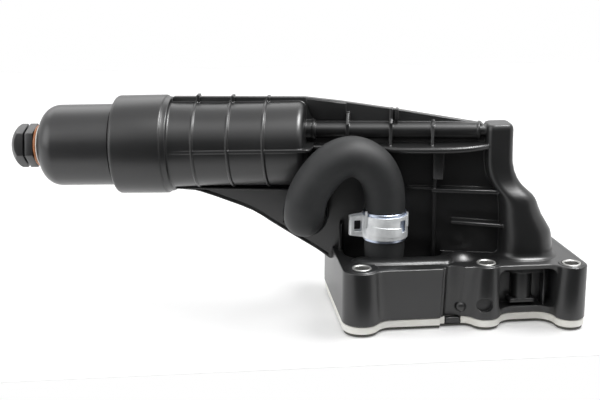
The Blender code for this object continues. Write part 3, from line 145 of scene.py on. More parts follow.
def rounded(points, radius, steps=6):
    """A closed outline with its corners rounded; radius is one number or one for each corner."""
    count = len(points)
    radii = radius if isinstance(radius, (list, tuple)) else [radius] * count
    outline = []
    for i in range(count):
        corner = Vector(points[i])
        before = (Vector(points[i - 1]) - corner).normalized()
        after = (Vector(points[(i + 1) % count]) - corner).normalized()
        half = before.angle(after) / 2.0
        if radii[i] <= 0.0 or half > math.radians(88.0):
            outline.append(tuple(corner))
            continue
        middle = corner + (before + after).normalized() * (radii[i] / math.sin(half))
        first = corner + before * (radii[i] / math.tan(half)) - middle
        last = corner + after * (radii[i] / math.tan(half)) - middle
        sweep = first.angle_signed(last)
        for k in range(steps + 1):
            spoke = first.copy()
            spoke.rotate(Matrix.Rotation(-sweep * k / steps, 2))
            outline.append(tuple(middle + spoke))
    return outline


# forms made with mesh operators


def tidy(bm):
    """Merges doubles and turns every face outwards."""
    bmesh.ops.remove_doubles(bm, verts=bm.verts, dist=1e-4)
    bm.normal_update()
    bmesh.ops.recalc_face_normals(bm, faces=bm.faces)
    return bm


def moved(bm, frame_matrix):
    bm.transform(frame_matrix)
    return bm


def shifted(bm, offset):
    bmesh.ops.translate(bm, verts=bm.verts, vec=offset)
    return bm


def slab(outline, low, high):
    """A flat outline pushed up from one height to another."""
    bm = bmesh.new()
    face = bm.faces.new([bm.verts.new((p[0], p[1], low)) for p in outline])
    grown = bmesh.ops.extrude_face_region(bm, geom=[face])
    top = [g for g in grown["geom"] if isinstance(g, bmesh.types.BMVert)]
    bmesh.ops.translate(bm, verts=top, vec=(0.0, 0.0, high - low))
    return tidy(bm)


def upright(outline, front, back):
    """An outline in x and z, pushed along y."""
    return tidy(moved(slab(outline, front, back), Matrix(((1, 0, 0, 0), (0, 0, 1, 0), (0, 1, 0, 0), (0, 0, 0, 1)))))


def sideways(outline, low, high):
    """An outline in y and z, pushed along x."""
    return tidy(moved(slab(outline, low, high), Matrix(((0, 0, 1, 0), (1, 0, 0, 0), (0, 1, 0, 0), (0, 0, 0, 1)))))


def turned(profile, steps, closed=False):
    """A profile of (station, radius) points spun about the x axis."""
    bm = bmesh.new()
    verts = [bm.verts.new((p[0], 0.0, p[1])) for p in profile]
    edges = [bm.edges.new(pair) for pair in zip(verts, verts[1:])]
    if closed:
        edges.append(bm.edges.new((verts[-1], verts[0])))
    bmesh.ops.spin(bm, geom=verts + edges, cent=(0, 0, 0), axis=(1, 0, 0), angle=math.tau,
                   steps=steps, use_merge=True)
    return tidy(bm)


def standing(bm, place=(0.0, 0.0, 0.0)):
    """A spun form whose x axis is turned up, set down at a place."""
    bmesh.ops.rotate(bm, verts=bm.verts, matrix=Matrix.Rotation(-math.pi / 2.0, 3, "Y"))
    return shifted(bm, place)


def ring_loop(bm, points):
    verts = [bm.verts.new(p) for p in points]
    return verts, [bm.edges.new((verts[i - 1], verts[i])) for i in range(len(verts))]


def lofted(rings, cyclic=False):
    """Rings of points bridged one to the next, closed at both ends unless it runs back on itself."""
    bm = bmesh.new()
    loops = [ring_loop(bm, ring) for ring in rings]
    pairs = list(zip(loops, loops[1:]))
    if cyclic:
        pairs.append((loops[-1], loops[0]))
    for (_, lower), (_, upper) in pairs:
        bmesh.ops.bridge_loops(bm, edges=lower + upper)
    if not cyclic:
        bm.faces.new(loops[0][0])
        bm.faces.new(loops[-1][0])
    return tidy(bm)


def spindle(start, end, radius, steps):
    """A plain cylinder along x."""
    return turned([(start, 0.0), (start, radius), (end, radius), (end, 0.0)], steps)


def soften(bm, width, segments=2, angle=30.0):
    """Rounds the edges that turn by more than an angle."""
    bm.normal_update()
    limit = math.radians(angle)
    edges = [e for e in bm.edges if len(e.link_faces) == 2 and e.calc_face_angle(0.0) > limit]
    if edges:
        bmesh.ops.bevel(bm, geom=edges, offset=width, offset_type="OFFSET", affect="EDGES",
                        segments=segments, profile=0.5, material=-1, clamp_overlap=True)
    return bm


def mesh_from(name, bm):
    mesh = bpy.data.meshes.new(name)
    bm.to_mesh(mesh)
    bm.free()
    return mesh


def linked(name, data):
    obj = bpy.data.objects.new(name, data)
    bpy.context.scene.collection.objects.link(obj)
    return obj


def joined(parts):
    """Several forms in one bmesh."""
    whole = bmesh.new()
    for bm in parts:
        mesh = mesh_from("joining", bm)
        whole.from_mesh(mesh)
        bpy.data.meshes.remove(mesh)
    return whole


def temporary(bm):
    return linked("carving", mesh_from("carving", bm))


def carved(bm, cutters, operation="DIFFERENCE"):
    """Cuts, joins or keeps what is common, one exact Boolean for each cutter."""
    target = temporary(bm)
    tools = [temporary(cutter) for cutter in cutters]
    for tool in tools:
        boolean = target.modifiers.new("carve", "BOOLEAN")
        boolean.operation = operation
        boolean.solver = "EXACT"
        boolean.object = tool
    shape = target.evaluated_get(bpy.context.evaluated_depsgraph_get())
    mesh = bpy.data.meshes.new_from_object(shape)
    result = bmesh.new()
    result.from_mesh(mesh)
    bpy.data.meshes.remove(mesh)
    for obj in [target] + tools:
        old = obj.data
        bpy.data.objects.remove(obj)
        bpy.data.meshes.remove(old)
    bmesh.ops.remove_doubles(result, verts=result.verts, dist=CARVED_MERGE)
    bmesh.ops.dissolve_degenerate(result, edges=result.edges, dist=CARVED_MERGE)
    return result


def rod_between(start, end, radius, steps, end_round=0.0):
    start = Vector(start)
    along = Vector(end) - start
    size = along.length
    profile = [(0.0, 0.0), (0.0, radius - end_round), (end_round, radius), (size - end_round, radius),
               (size, radius - end_round), (size, 0.0)]
    bm = turned(profile, steps)
    turn = Vector((1, 0, 0)).rotation_difference(along).to_matrix().to_4x4()
    return moved(bm, Matrix.Translation(start) @ turn)


def smooth_path(points, between):
    """A Catmull-Rom curve through points, with so many steps between two of them."""
    points = [Vector(p) for p in points]
    first = points[0] * 2.0 - points[1]
    last = points[-1] * 2.0 - points[-2]
    line = [first] + points + [last]
    path = []
    for i in range(1, len(line) - 2):
        a, b, c, d = line[i - 1:i + 3]
        for k in range(between):
            t = k / between
            path.append(0.5 * (2.0 * b + (c - a) * t + (2.0 * a - 5.0 * b + 4.0 * c - d) * t * t
                               + (3.0 * b - a - 3.0 * c + d) * t ** 3))
    path.append(points[-1])
    return path


def swept_rings(path, radii, steps, side=Vector((0.0, -1.0, 0.0))):
    """Rings square to a path, turned as little as possible from one to the next."""
    rings = []
    for i, point in enumerate(path):
        along = (path[min(i + 1, len(path) - 1)] - path[max(i - 1, 0)]).normalized()
        side = (side - along * side.dot(along)).normalized()
        other = along.cross(side)
        radius = radii[i] if isinstance(radii, (list, tuple)) else radii
        ring = []
        for k in range(steps):
            turn = math.tau * k / steps
            ring.append(point + side * (radius * math.cos(turn)) + other * (radius * math.sin(turn)))
        rings.append(ring)
    return rings


# finishes


class Wire:
    """A shader socket on which sums and products are written as an expression."""

    def __init__(self, finish, socket):
        self.finish = finish
        self.socket = socket

    def math(self, operation, first, second):
        return self.finish.node("Math", {"operation": operation}, {0: first, 1: second})

    def __add__(self, other):
        return self.math("ADD", self, other)

    def __radd__(self, other):
        return self.math("ADD", other, self)

    def __mul__(self, other):
        return self.math("MULTIPLY", self, other)

    def __rmul__(self, other):
        return self.math("MULTIPLY", other, self)


class Finish:
    """One material and the nodes that paint it."""

    def __init__(self, name, color, roughness, metallic=0.0, **constants):
        self.material = bpy.data.materials.new(name)
        self.material.use_nodes = True
        self.tree = self.material.node_tree
        self.shader = self.tree.nodes["Principled BSDF"]
        self.set("Base Color", (*color, 1.0))
        self.set("Roughness", roughness)
        self.set("Metallic", metallic)
        for key, value in constants.items():
            self.set(key.replace("_", " "), value)
        self.material.diffuse_color = (*color, 1.0)

    def plug(self, socket, value):
        if isinstance(value, Wire):
            self.tree.links.new(value.socket, socket)
        else:
            socket.default_value = value

    def set(self, name, value):
        self.plug(self.shader.inputs[name], value)

    def paint(self, tone, roughness, normal):
        """Sets the three inputs that vary over the skin and gives the material."""
        self.set("Base Color", tone)
        self.set("Roughness", roughness)
        self.set("Normal", normal)
        return self.material

    def node(self, kind, settings=None, inputs=None, output=0):
        """Adds a node of a type, sets its settings, then its inputs; gives one of its outputs."""
        made = self.tree.nodes.new("ShaderNode" + kind)
        for key, value in (settings or {}).items():
            setattr(made, key, value)
        for key, value in (inputs or {}).items():
            self.plug(made.inputs[key], value)
        return Wire(self, made.outputs[output])

    def noise(self, scale, detail=2.0, stretch=None, roughness=0.5):
        place = self.node("TexCoord", output="Object")
        if stretch:
            place = self.node("Mapping", {}, {"Vector": place, "Scale": stretch})
        return self.node("TexNoise", {}, {"Vector": place, "Scale": scale, "Detail": detail,
                                          "Roughness": roughness})

    def fade(self, value, black, white):
        """Black up to one value, white from another."""
        shade = self.node("ValToRGB", {}, {0: value})
        elements = shade.socket.node.color_ramp.elements
        elements[0].position, elements[1].position = black, white
        return shade

    def mix(self, share, first, second):
        first, second = [(*tone, 1.0) if isinstance(tone, tuple) else tone for tone in (first, second)]
        return self.node("Mix", {"data_type": "RGBA"}, {0: share, 6: first, 7: second}, 2)

    def soft_edges(self, radius):
        return self.node("Bevel", {"samples": 4}, {"Radius": radius})

    def bump(self, height, strength, distance, under=None):
        inputs = {"Height": height, "Strength": strength, "Distance": distance}
        if under is not None:
            inputs["Normal"] = under
        return self.node("Bump", {}, inputs)


def moulded_nylon(name, dark, light, roughness, edge_round):
    """Glass-filled nylon: satin skin, faint flow marks and a fine grain."""
    finish = Finish(name, dark, roughness, Specular_IOR_Level=0.6)
    flow = finish.noise(28.0, 3.0)
    grain = finish.noise(1500.0)
    speck = finish.fade(finish.noise(2600.0, 1.0), 0.66, 0.74)
    tone = finish.mix(finish.fade(flow, 0.3, 0.7), dark, light)
    return finish.paint(finish.mix(speck * 0.12, tone, (0.10, 0.10, 0.105)),
                        roughness - 0.05 + 0.07 * flow + 0.06 * grain,
                        finish.bump(grain, 0.04, 0.0002, finish.soft_edges(edge_round)))


def woven_rubber(name):
    finish = Finish(name, (0.030, 0.031, 0.032), 0.60, Specular_IOR_Level=0.35)
    cloth = finish.noise(700.0, 3.0)
    bloom = finish.noise(45.0, 4.0, roughness=0.6)
    tone = finish.mix(finish.fade(bloom, 0.35, 0.7), (0.020, 0.021, 0.022), (0.033, 0.034, 0.035))
    return finish.paint(tone, 0.52 + 0.16 * bloom, finish.bump(cloth, 0.16, 0.0002))


def plain_rubber(name, color, roughness):
    finish = Finish(name, color, roughness)
    skin = finish.noise(900.0)
    tone = finish.mix(skin, color, tuple(min(1.0, c * 1.45 + 0.004) for c in color))
    return finish.paint(tone, roughness - 0.08 + 0.16 * skin, finish.bump(skin, 0.08, 0.0001))


def plated_steel(name, color, tint, roughness, grain_stretch, metallic=1.0):
    """Rolled and plated strip: fine drawn lines, faint clouding of the plating."""
    finish = Finish(name, color, roughness, metallic)
    drawn = finish.noise(500.0, 2.0, grain_stretch)
    cloud = finish.noise(160.0, 3.0)
    tone = finish.mix(finish.fade(cloud, 0.35, 0.65), color, tint)
    return finish.paint(tone, roughness - 0.06 + 0.10 * drawn + 0.10 * cloud, finish.bump(drawn, 0.10, 0.0001))


def mottled_sheet(name):
    finish = Finish(name, (0.86, 0.85, 0.79), 0.50)
    mottle = finish.noise(90.0, 4.0)
    fine = finish.noise(1400.0)
    tone = finish.mix(finish.fade(mottle, 0.4, 0.75), (0.93, 0.92, 0.87), (0.86, 0.84, 0.77))
    return finish.paint(tone, 0.44 + 0.14 * mottle, finish.bump(fine, 0.06, 0.0001, finish.soft_edges(0.0005)))


def fibrous_paper(name):
    finish = Finish(name, (0.74, 0.62, 0.38), 0.85)
    fibre = finish.noise(900.0, 5.0, (0.3, 1.0, 1.0), 0.7)
    tone = finish.mix(fibre, (0.64, 0.52, 0.30), (0.86, 0.76, 0.52))
    return finish.paint(tone, 0.78 + 0.16 * fibre, finish.bump(fibre, 0.3, 0.0002))


NYLON_DARK = (0.0125, 0.0127, 0.0132)
NYLON_LIGHT = (0.0175, 0.0177, 0.0182)
FINISHES = {name: make(name, *values) for name, make, *values in (
    ("black_nylon", moulded_nylon, NYLON_DARK, NYLON_LIGHT, 0.33, 0.0008),
    ("cap_nylon", moulded_nylon, (0.022, 0.022, 0.023), (0.029, 0.029, 0.030), 0.32, 0.0003),
    ("grey_nylon", moulded_nylon, (0.17, 0.18, 0.19), (0.22, 0.23, 0.24), 0.45, 0.0002),
    ("hose_rubber", woven_rubber),
    ("seal_rubber", plain_rubber, (0.055, 0.055, 0.048), 0.55),
    ("black_rubber", plain_rubber, (0.016, 0.016, 0.017), 0.42),
    ("amber_rubber", plain_rubber, (0.36, 0.13, 0.045), 0.38),
    ("zinc", plated_steel, (0.93, 0.95, 0.96), (0.76, 0.78, 0.79), 0.48, (0.4, 0.4, 3.0), 0.5),
    ("liner_steel", plated_steel, (0.60, 0.66, 0.78), (0.50, 0.56, 0.68), 0.28, (0.3, 0.3, 4.0)),
    ("limiter_steel", plated_steel, (0.40, 0.40, 0.39), (0.30, 0.30, 0.29), 0.46, (1.0, 1.0, 1.0)),
    ("spring_steel", plated_steel, (0.55, 0.56, 0.58), (0.44, 0.45, 0.47), 0.30, (1.0, 1.0, 1.0)),
    ("valve_steel", plated_steel, (0.60, 0.60, 0.58), (0.50, 0.50, 0.48), 0.33, (1.0, 1.0, 1.0)),
    # near-black steel for the rear clamp and its liner: painted shade of the bay behind the hose, not a finish of its
    # own
    ("blackened_steel", plated_steel, (0.030, 0.031, 0.033), (0.022, 0.023, 0.025), 0.42, (0.4, 0.4, 3.0), 0.6),
    ("cream_gasket", mottled_sheet),
    ("filter_paper", fibrous_paper),
)}


def piece(name, bm, slot, body, stands_for=(), angle=35.0, coat=None):
    """A finished piece: brought to metres, faces out, on its body, with the finish of its slot.

    coat is a finish other than the slot's own.
    """
    bmesh.ops.scale(bm, verts=bm.verts, vec=(1.0 / MM,) * 3)
    bm.normal_update()
    bmesh.ops.recalc_face_normals(bm, faces=bm.faces)
    mesh = mesh_from(name, bm)
    mesh.materials.append(FINISHES[coat or slot])
    mesh.shade_smooth()
    mesh.set_sharp_from_angle(angle=math.radians(angle))
    obj = linked(name, mesh)
    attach(obj, body)
    if stands_for:
        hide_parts(*stands_for)
    return obj


# housing: canister


def axis_z(u):
    return CANISTER_END.z + u * math.tan(TILT)


def canister_shell():
    """Collar with its rounded mouth, shoulder, tube and closed end as one turned form."""
    mouth_round, collar_round, end_round = 2.6, 1.4, 4.4
    floor_x, bore_r = -118.0, 26.7
    profile = [(floor_x, 0.0), (floor_x, bore_r), (MOUTH_X + 0.5, bore_r), (MOUTH_X, bore_r + 0.6)]
    profile += arc((MOUTH_X + mouth_round, COLLAR_R - mouth_round), mouth_round, 180.0, 90.0, 8)
    profile += [(-105.0, COLLAR_R)]
    profile += arc((-92.6, COLLAR_R - collar_round), collar_round, 90.0, 24.0, 6)
    profile += [(-91.0, 31.3), (-88.6, 30.9)]
    profile += arc((-88.6, 30.1), 0.8, 80.0, 0.0, 4)
    profile += arc((-86.2, 30.0), 1.6, 180.0, 270.0, 6)
    profile += [(-60.0, TUBE_R), (-30.0, TUBE_R)]
    profile += arc((-end_round, TUBE_R - end_round), end_round, 90.0, 0.0, 12)
    profile += [(0.0, 0.0)]
    return turned(profile, WIDE_STEPS)


def tube_rings():
    """Three raised beads round the tube, round in section."""
    half = 1.0
    beads = []
    for place in RING_PLACES:
        section = arc((place, TUBE_R + 0.1), half, 180.0, 0.0, 8)
        section += [(place + half, TUBE_R - 1.5), (place - half, TUBE_R - 1.5)]
        beads.append(turned(section, WIDE_STEPS, closed=True))
    return beads


def seam_rib():
    """The parting ledge along the tube's middle, on both sides, that runs on past the tube's end."""
    reach = TUBE_R + 0.6
    bm = slab(rounded(rectangle(-92.0, 5.0, -reach, reach), [0.0, 4.0, 4.0, 0.0]), -0.9, 1.2)
    return soften(bm, 0.45)


def end_boss():
    """The boss on the tube's closed end from which the oil pipe starts."""
    return pipe_length(1.0, 6.6, 6.4, end_round=0.5)


# housing: web plate with its ribs, pipe and shelf


def web_top_nubs():
    """Where the tube's rings run out over the web's top edge."""
    return [soften(slab(rectangle(place + 1.9, place + 4.1, -3.4, 3.4), 128.0, WEB_TOP), 0.6, 3)
            for place in RING_PLACES]


def web_outline():
    """Corners of the web plate in u and z, each with the radius that it is rounded to."""
    left, right, bottom = COLLAR_X + 4.6, 142.0, 34.0
    return [
        ((left, 140.2), 1.6), ((left, 78.9), 0.8), ((-83.2, 78.2), 4.0), ((-71.8, 77.7), 8.0), ((-67.7, 76.9), 8.0),
        ((-49.0, 71.0), 12.0), ((-33.1, 65.4), 8.0), ((-21.1, 57.9), 8.0), ((-7.1, 49.7), 8.0), ((8.2, 40.9), 0.0),
        ((17.7, bottom), 0.0), ((right, bottom), 0.0), ((right, 70.0), 4.0), ((128.0, 115.0), 4.0),
        ((116.8, 123.8), 2.0), ((112.8, 128.0), 2.0), ((57.0, 135.8), 0.0), ((23.9, 139.8), 12.0),
        ((1.2, WEB_TOP), 12.0), ((-40.0, 141.1), 0.0),
    ]


def web_plate():
    places, radii = zip(*web_outline())
    return soften(upright(rounded(places, radii), -2.0, 2.0), 0.5)


def ribbon(path, front, back, thickness):
    """A flat strip on top of a path in u and z."""
    upper = [(x, z + thickness) for x, z in reversed(path)]
    return soften(upright(path + upper, front, back), 0.45)


def web_panel():
    """The raised panel on the web between the tube's end and the first rib."""
    line = [(2.1, 141.0), (5.7, 130.3), (8.6, 127.3), (28.0, 127.8), (28.0, 138.6)]
    return soften(upright(rounded(line, [0.0, 6.0, 3.0, 0.0, 0.0]), -2.6, 0.0), 0.25)


def web_end_bevel():
    """The broad sloping end of the web beside the column."""
    outline = [(112.2, 124.6), (112.2, 128.4), (114.0, 128.0), (119.4, 122.4), (119.4, 119.0)]
    return soften(upright(outline, -4.0, 4.0), 0.4)


def keel_lip():
    """The flange along the keel's lower edge, flush with the web's front."""
    path = [(-85.2, 79.0), (-83.2, 78.3), (-77.0, 78.0), (-71.8, 77.8), (-67.7, 76.9), (-58.0, 74.0), (-49.0, 71.0),
            (-41.0, 68.3), (-33.1, 65.2), (-27.0, 61.9), (-21.1, 58.0), (-14.0, 53.8), (-7.1, 49.7), (8.2, 40.9),
            (17.0, 35.4)]
    return ribbon(path, -2.6, 5.5, 2.0)


def tube_ledge():
    """The strip right under the tube."""
    return ribbon([(COLLAR_X + 4.8, 79.4), (-8.0, 80.6)], -7.0, 5.0, 1.4)


def pipe_z(u):
    """Height of the oil pipe's centre, which rises along the web."""
    return 120.8 + 2.4 * (u - 7.4) / 105.4


def pipe_length(start, end, radius, steps=40, end_round=0.0):
    """A round bar on the oil pipe's centre line, between two stations along the web."""
    return rod_between((start, PIPE_V, pipe_z(start)), (end, PIPE_V, pipe_z(end)), radius, steps, end_round)


def oil_pipe():
    """The half-round oil pipe with the flange at its left end, the collar at its right end and its neck."""
    return [pipe_length(6.0, 113.0, PIPE_R), pipe_length(6.4, 8.8, 6.9, end_round=0.4),
            pipe_length(111.8, 113.6, 5.9, end_round=0.4), pipe_length(113.0, 124.0, 3.6, 32)]


def shelf_z(u):
    return 111.4 + (u - 2.0) * math.tan(TILT)


def shelf():
    """The curved plate under the oil pipe, round along its front."""
    left, right, thickness = 2.0, 122.0, 3.8
    front = smooth_path([(u, v, 0.0) for u, v in (
        (left, -8.0), (24.0, -8.0), (44.0, -8.2), (50.0, -11.0), (58.0, -16.8), (66.0, -18.9), (76.0, -20.0),
        (88.0, -20.3), (98.0, -19.6), (107.0, -17.4), (114.0, -14.0), (119.0, -10.6), (right, -8.6))], 3)
    bm = slab([(p.x, p.y) for p in front] + [(right, 1.0), (left, 1.0)], -thickness, 0.0)
    soften(bm, 1.7, 5, 60.0)
    for vert in bm.verts:
        vert.co.z += shelf_z(vert.co.x)
    return bm


def cross_rib(u, low, high, front, back=0.0):
    bm = slab(rectangle(u - RIB_WIDTH / 2.0, u + RIB_WIDTH / 2.0, front, back), low, high)
    return soften(bm, 0.35)


def curved_rib(u, outline):
    """A rib square to the web, from an outline in v and z."""
    return soften(sideways(outline, u - RIB_WIDTH / 2.0, u + RIB_WIDTH / 2.0), 0.35)


def bar(outline, front, edge=0.5):
    """A raised bar on the web's front, from an outline in u and z."""
    return soften(upright(outline, front, 0.0), edge)


def web_ribs():
    """Ribs over the pipe, under the shelf and behind the web."""
    over = PIPE_V - PIPE_R - 1.0
    parts = [
        curved_rib(29.4, [(0.0, 111.0), (over, 111.0), (over, 126.0), (-6.2, 129.2), (-4.2, 132.6), (0.0, 133.4)]),
        curved_rib(57.2, [(0.0, 111.0), (over - 6.0, 111.0), (over, 122.0), (over, 127.6), (-6.2, 130.0),
                          (-5.6, 136.5), (0.0, 136.5)]),
        curved_rib(60.6, [(0.0, 129.0), (-6.4, 129.0), (-5.6, 136.3), (0.0, 136.3)]),
        curved_rib(83.8, [(0.0, 112.0), (over - 6.5, 112.0), (over - 1.0, 122.0), (over, 126.6), (-3.0, 129.0),
                          (0.0, 129.0)]),
        cross_rib(86.0, TOP_Z - 10.0, shelf_z(84.0) - 1.0, -9.0),
        bar(rectangle(84.6, 91.4, 92.0, 111.5), -10.5, 0.8),
        bar(rectangle(84.0, 127.0, 83.4, 85.8), -10.0),
        bar(rectangle(68.0, 87.0, 83.8, 85.4), -5.0),
        bar([(97.0, 62.7), (131.0, 61.2), (131.0, 63.4), (97.0, 64.8)], -10.0),
    ]
    return parts + [cross_rib(u, TOP_Z - 2.0, 122.0, 0.0, 10.0) for u in (30.0, 57.2, 83.6)]


def gusset():
    """The rib under the shelf's left part, beside the hose."""
    return curved_rib(25.6, [(0.0, 27.9), (-10.0, 27.9), (-9.0, 43.9), (-7.0, 58.5), (-4.0, 60.0), (0.0, 60.4)])


def stub_profile(low, seat, tip):
    """A hose spigot: collar, straight barrel and a barbed tip, open inside."""
    collar, barrel, bore = 12.5, 9.3, 6.8
    return [(low, 0.0), (low, collar), (seat - 0.6, collar), (seat, collar - 0.6), (seat, barrel), (tip - 6.0, barrel),
            (tip - 4.2, barrel), (tip, barrel - 1.0), (tip, bore), (tip - 12.0, bore), (tip - 12.0, 0.0)]


def rear_stub():
    bm = turned(stub_profile(-8.0, 4.2, 14.0), 48)
    bmesh.ops.rotate(bm, verts=bm.verts, matrix=Matrix.Rotation(-math.pi / 2.0, 3, "Z"))
    return shifted(bm, REAR_STUB)


def inlet_duct():
    """The slanting duct behind the web, from the inlet chamber up to the tube's end."""
    far = -11.0
    return rod_between((*INLET_PLACE, 35.0), (far, INLET_PLACE[1], axis_z(far) - 22.8), 8.5, 40)


# housing: column


def column_section(z, left, right, front, back, left_round, right_round):
    """One level of the column; its corners are rounded alike in front and behind."""
    outline = rounded(rectangle(left, right, front, back), (left_round, right_round, right_round, left_round), 7)
    return [Vector((x, y, z)) for x, y in outline]


COLUMN_LEVELS = (
    (33.0, 27.7, 62.3, -37.5, 0.5, 13.5, 13.5),
    (41.5, 27.7, 62.3, -37.5, 0.5, 13.5, 13.5),
    (50.0, 27.9, 62.1, -37.2, 0.2, 13.5, 13.5),
    (56.0, 27.9, 61.3, -36.9, 0.0, 13.5, 13.5),
    (59.5, 27.8, 60.2, -36.7, -0.4, 13.0, 13.0),
    (64.0, 27.7, 57.4, -36.3, -0.7, 12.0, 12.5),
    (70.0, 27.5, 53.8, -35.7, -1.3, 11.0, 11.6),
    (75.0, 27.2, 51.6, -35.4, -2.0, 10.0, 11.0),
    (78.4, 26.8, 50.2, -35.2, -2.6, 9.4, 10.0),
    (80.6, 26.3, 49.0, -34.9, -3.2, 9.0, 9.6),
    (82.4, 25.6, 47.6, -34.3, -4.0, 8.4, 9.0),
    (84.0, 24.7, 45.8, -33.4, -4.8, 7.8, 8.4),
    (86.0, 23.4, 43.5, -32.0, -5.8, 7.0, 7.8),
    (88.2, 21.9, 41.2, -30.5, -7.0, 6.2, 6.8),
    (90.8, 20.4, 39.2, -29.2, -7.9, 5.6, 6.2),
    (94.0, 19.0, 37.3, -28.3, -8.6, 4.9, 5.4),
    (98.0, 17.9, 35.6, -27.7, -9.2, 4.4, 4.8),
    (104.0, 17.2, 34.3, -27.4, -9.6, 4.2, 4.4),
    (114.0, 17.0, 33.9, -27.4, -9.6, 4.0, 4.0),
    (124.4, 17.0, 33.8, -27.4, -9.6, 4.0, 4.0),
    (126.6, 17.3, 33.5, -27.1, -9.9, 3.8, 3.8),
    (127.9, 18.1, 32.7, -26.3, -10.7, 3.2, 3.2),
    (128.4, 19.2, 31.6, -25.2, -11.8, 2.6, 2.6),
)


def column():
    return lofted([column_section(*level) for level in COLUMN_LEVELS])


def column_foot():
    """The fillet between the column and the base's top: heights, and how far it spreads there."""
    rings = []
    for z, grow in ((40.0, 3.0), (41.95, 3.0), (42.4, 1.7), (43.4, 0.7), (45.0, 0.1), (46.0, -0.4)):
        rings.append(column_section(z, 27.9 - grow, 62.1 + grow, -37.3 - grow, 0.4 + grow, 13.5 + grow, 13.5 + grow))
    return lofted(rings)


# housing: base block


def boss_centers():
    """Bolt centres, read from the compression limiters of the frame."""
    centers = {}
    for name in ("front_left", "front_mid", "front_right", "rear_left", "rear_mid", "rear_right"):
        low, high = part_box("compression_limiter_" + name)
        centers[name] = ((low.x + high.x) * MM / 2.0, (low.y + high.y) * MM / 2.0)
    return centers


BOSS = boss_centers()
BOSS_R = {"front_left": 12.38, "front_mid": 10.48, "front_right": 9.94,
          "rear_left": 11.45, "rear_mid": 10.5, "rear_right": 11.44}


def fillet_run(name, wall, fillet, out, side, inset):
    """Points round a fillet between a boss and a wall; side is -1 left of the boss, 1 right of it."""
    middle = Vector(BOSS[name])
    radius = BOSS_R[name] - inset
    rise = wall + out * fillet - middle.y
    run = math.sqrt(max((radius + fillet) ** 2 - rise * rise, fillet * fillet * 0.01))
    center = Vector((middle.x + side * run, wall + out * fillet))
    start = (middle - center).normalized() * fillet
    sweep = start.angle_signed(Vector((0.0, -out * fillet)))
    points = []
    for k in range(9):
        spoke = start.copy()
        spoke.rotate(Matrix.Rotation(-sweep * k / 8.0, 2))
        points.append(tuple(center + spoke))
    return points


def angle_at(name, point):
    return math.degrees(math.atan2(point[1] - BOSS[name][1], point[0] - BOSS[name][0]))


def boss_arc(name, start, end, steps, inset):
    """Points round a boss; start and end are angles in degrees, or points beside the boss."""
    turns = [turn if isinstance(turn, float) else angle_at(name, turn) for turn in (start, end)]
    return arc(BOSS[name], BOSS_R[name] - inset, *turns, steps)


def base_outline(walls, fillets, inset=0.0):
    """The base's outline, from the front left boss round to the right: bosses, fillets and walls.

    walls are the front wall's y left of the step, right of it, and right of the middle boss.
    """
    left_wall, mid_wall, right_wall = [w + inset for w in walls]
    rear_wall = 46.0 - inset
    by_left = fillet_run("front_left", left_wall, fillets[0], -1.0, 1.0, inset)
    to_mid = fillet_run("front_mid", mid_wall, fillets[1], -1.0, -1.0, inset)
    by_mid = fillet_run("front_mid", right_wall, fillets[2], -1.0, 1.0, inset)
    to_right = fillet_run("front_right", right_wall, fillets[2], -1.0, -1.0, inset)
    rear = [fillet_run(name, rear_wall, 6.0, 1.0, side, inset) for name, side in
            (("rear_right", -1.0), ("rear_mid", 1.0), ("rear_mid", -1.0), ("rear_left", 1.0))]
    side = angle_at("front_right", BOSS["rear_right"]) - 90.0
    outline = boss_arc("front_left", 180.0, 360.0 + angle_at("front_left", by_left[0]), 24, inset)
    outline += by_left[1:] + [(-14.4, left_wall), (-13.6, mid_wall)] + to_mid[::-1]
    outline += boss_arc("front_mid", to_mid[0], by_mid[0], 16, inset)[1:]
    outline += by_mid[1:] + to_right[::-1]
    outline += boss_arc("front_right", to_right[0], side, 24, inset)[1:]
    outline += boss_arc("rear_right", side, rear[0][0], 14, inset)
    outline += rear[0][1:] + rear[1][::-1]
    outline += boss_arc("rear_mid", rear[1][0], rear[2][0], 12, inset)[1:]
    outline += rear[2][1:] + rear[3][::-1]
    outline += boss_arc("rear_left", rear[3][0], 180.0, 14, inset)[1:]
    return outline


TOP_WALLS = (-48.8, -47.0, -47.6)
FOOT_WALLS = (-43.4, -40.6, -38.0)


def base_level(z, share, inset=0.0):
    """The outline at a height, blended between foot (0) and top (1)."""
    foot = base_outline(FOOT_WALLS, (11.0, 8.0, 11.0), inset)
    top = base_outline(TOP_WALLS, (9.0, 7.0, 7.0), inset)
    return [Vector((a[0] + (b[0] - a[0]) * share, a[1] + (b[1] - a[1]) * share, z)) for a, b in zip(foot, top)]


def base_block():
    """The block, leaning out towards its top, with a rounded upper edge."""
    levels = [(FOOT_Z, 0.0, 0.5), (FOOT_Z + 0.5, 0.0, 0.0), (TOP_Z - 1.0, 0.97, 0.0), (TOP_Z - 0.7, 1.0, 0.05),
              (TOP_Z - 0.25, 1.0, 0.3), (TOP_Z, 1.0, 0.8)]
    return lofted([base_level(z, share, inset) for z, share, inset in levels])


def recess_outline():
    """The hose's bay in the base's top, in front of the web."""
    corners = []
    for x, y in ((-73.0, 0.0), (-73.0, -22.5), (-6.0, -22.5), (-6.0, 0.0)):
        local = TO_WEB @ Vector((x, y, 0.0))
        corners.append((local.x, local.y))
    corners[0] = (corners[0][0] + 1.2, -1.0)
    corners[3] = (corners[3][0], -1.0)
    return rounded(corners, [0.0, 13.0, 8.0, 0.0], 10)


def recess_cut():
    return moved(slab(recess_outline(), TOP_Z - 8.0, TOP_Z + 6.0), WEB)


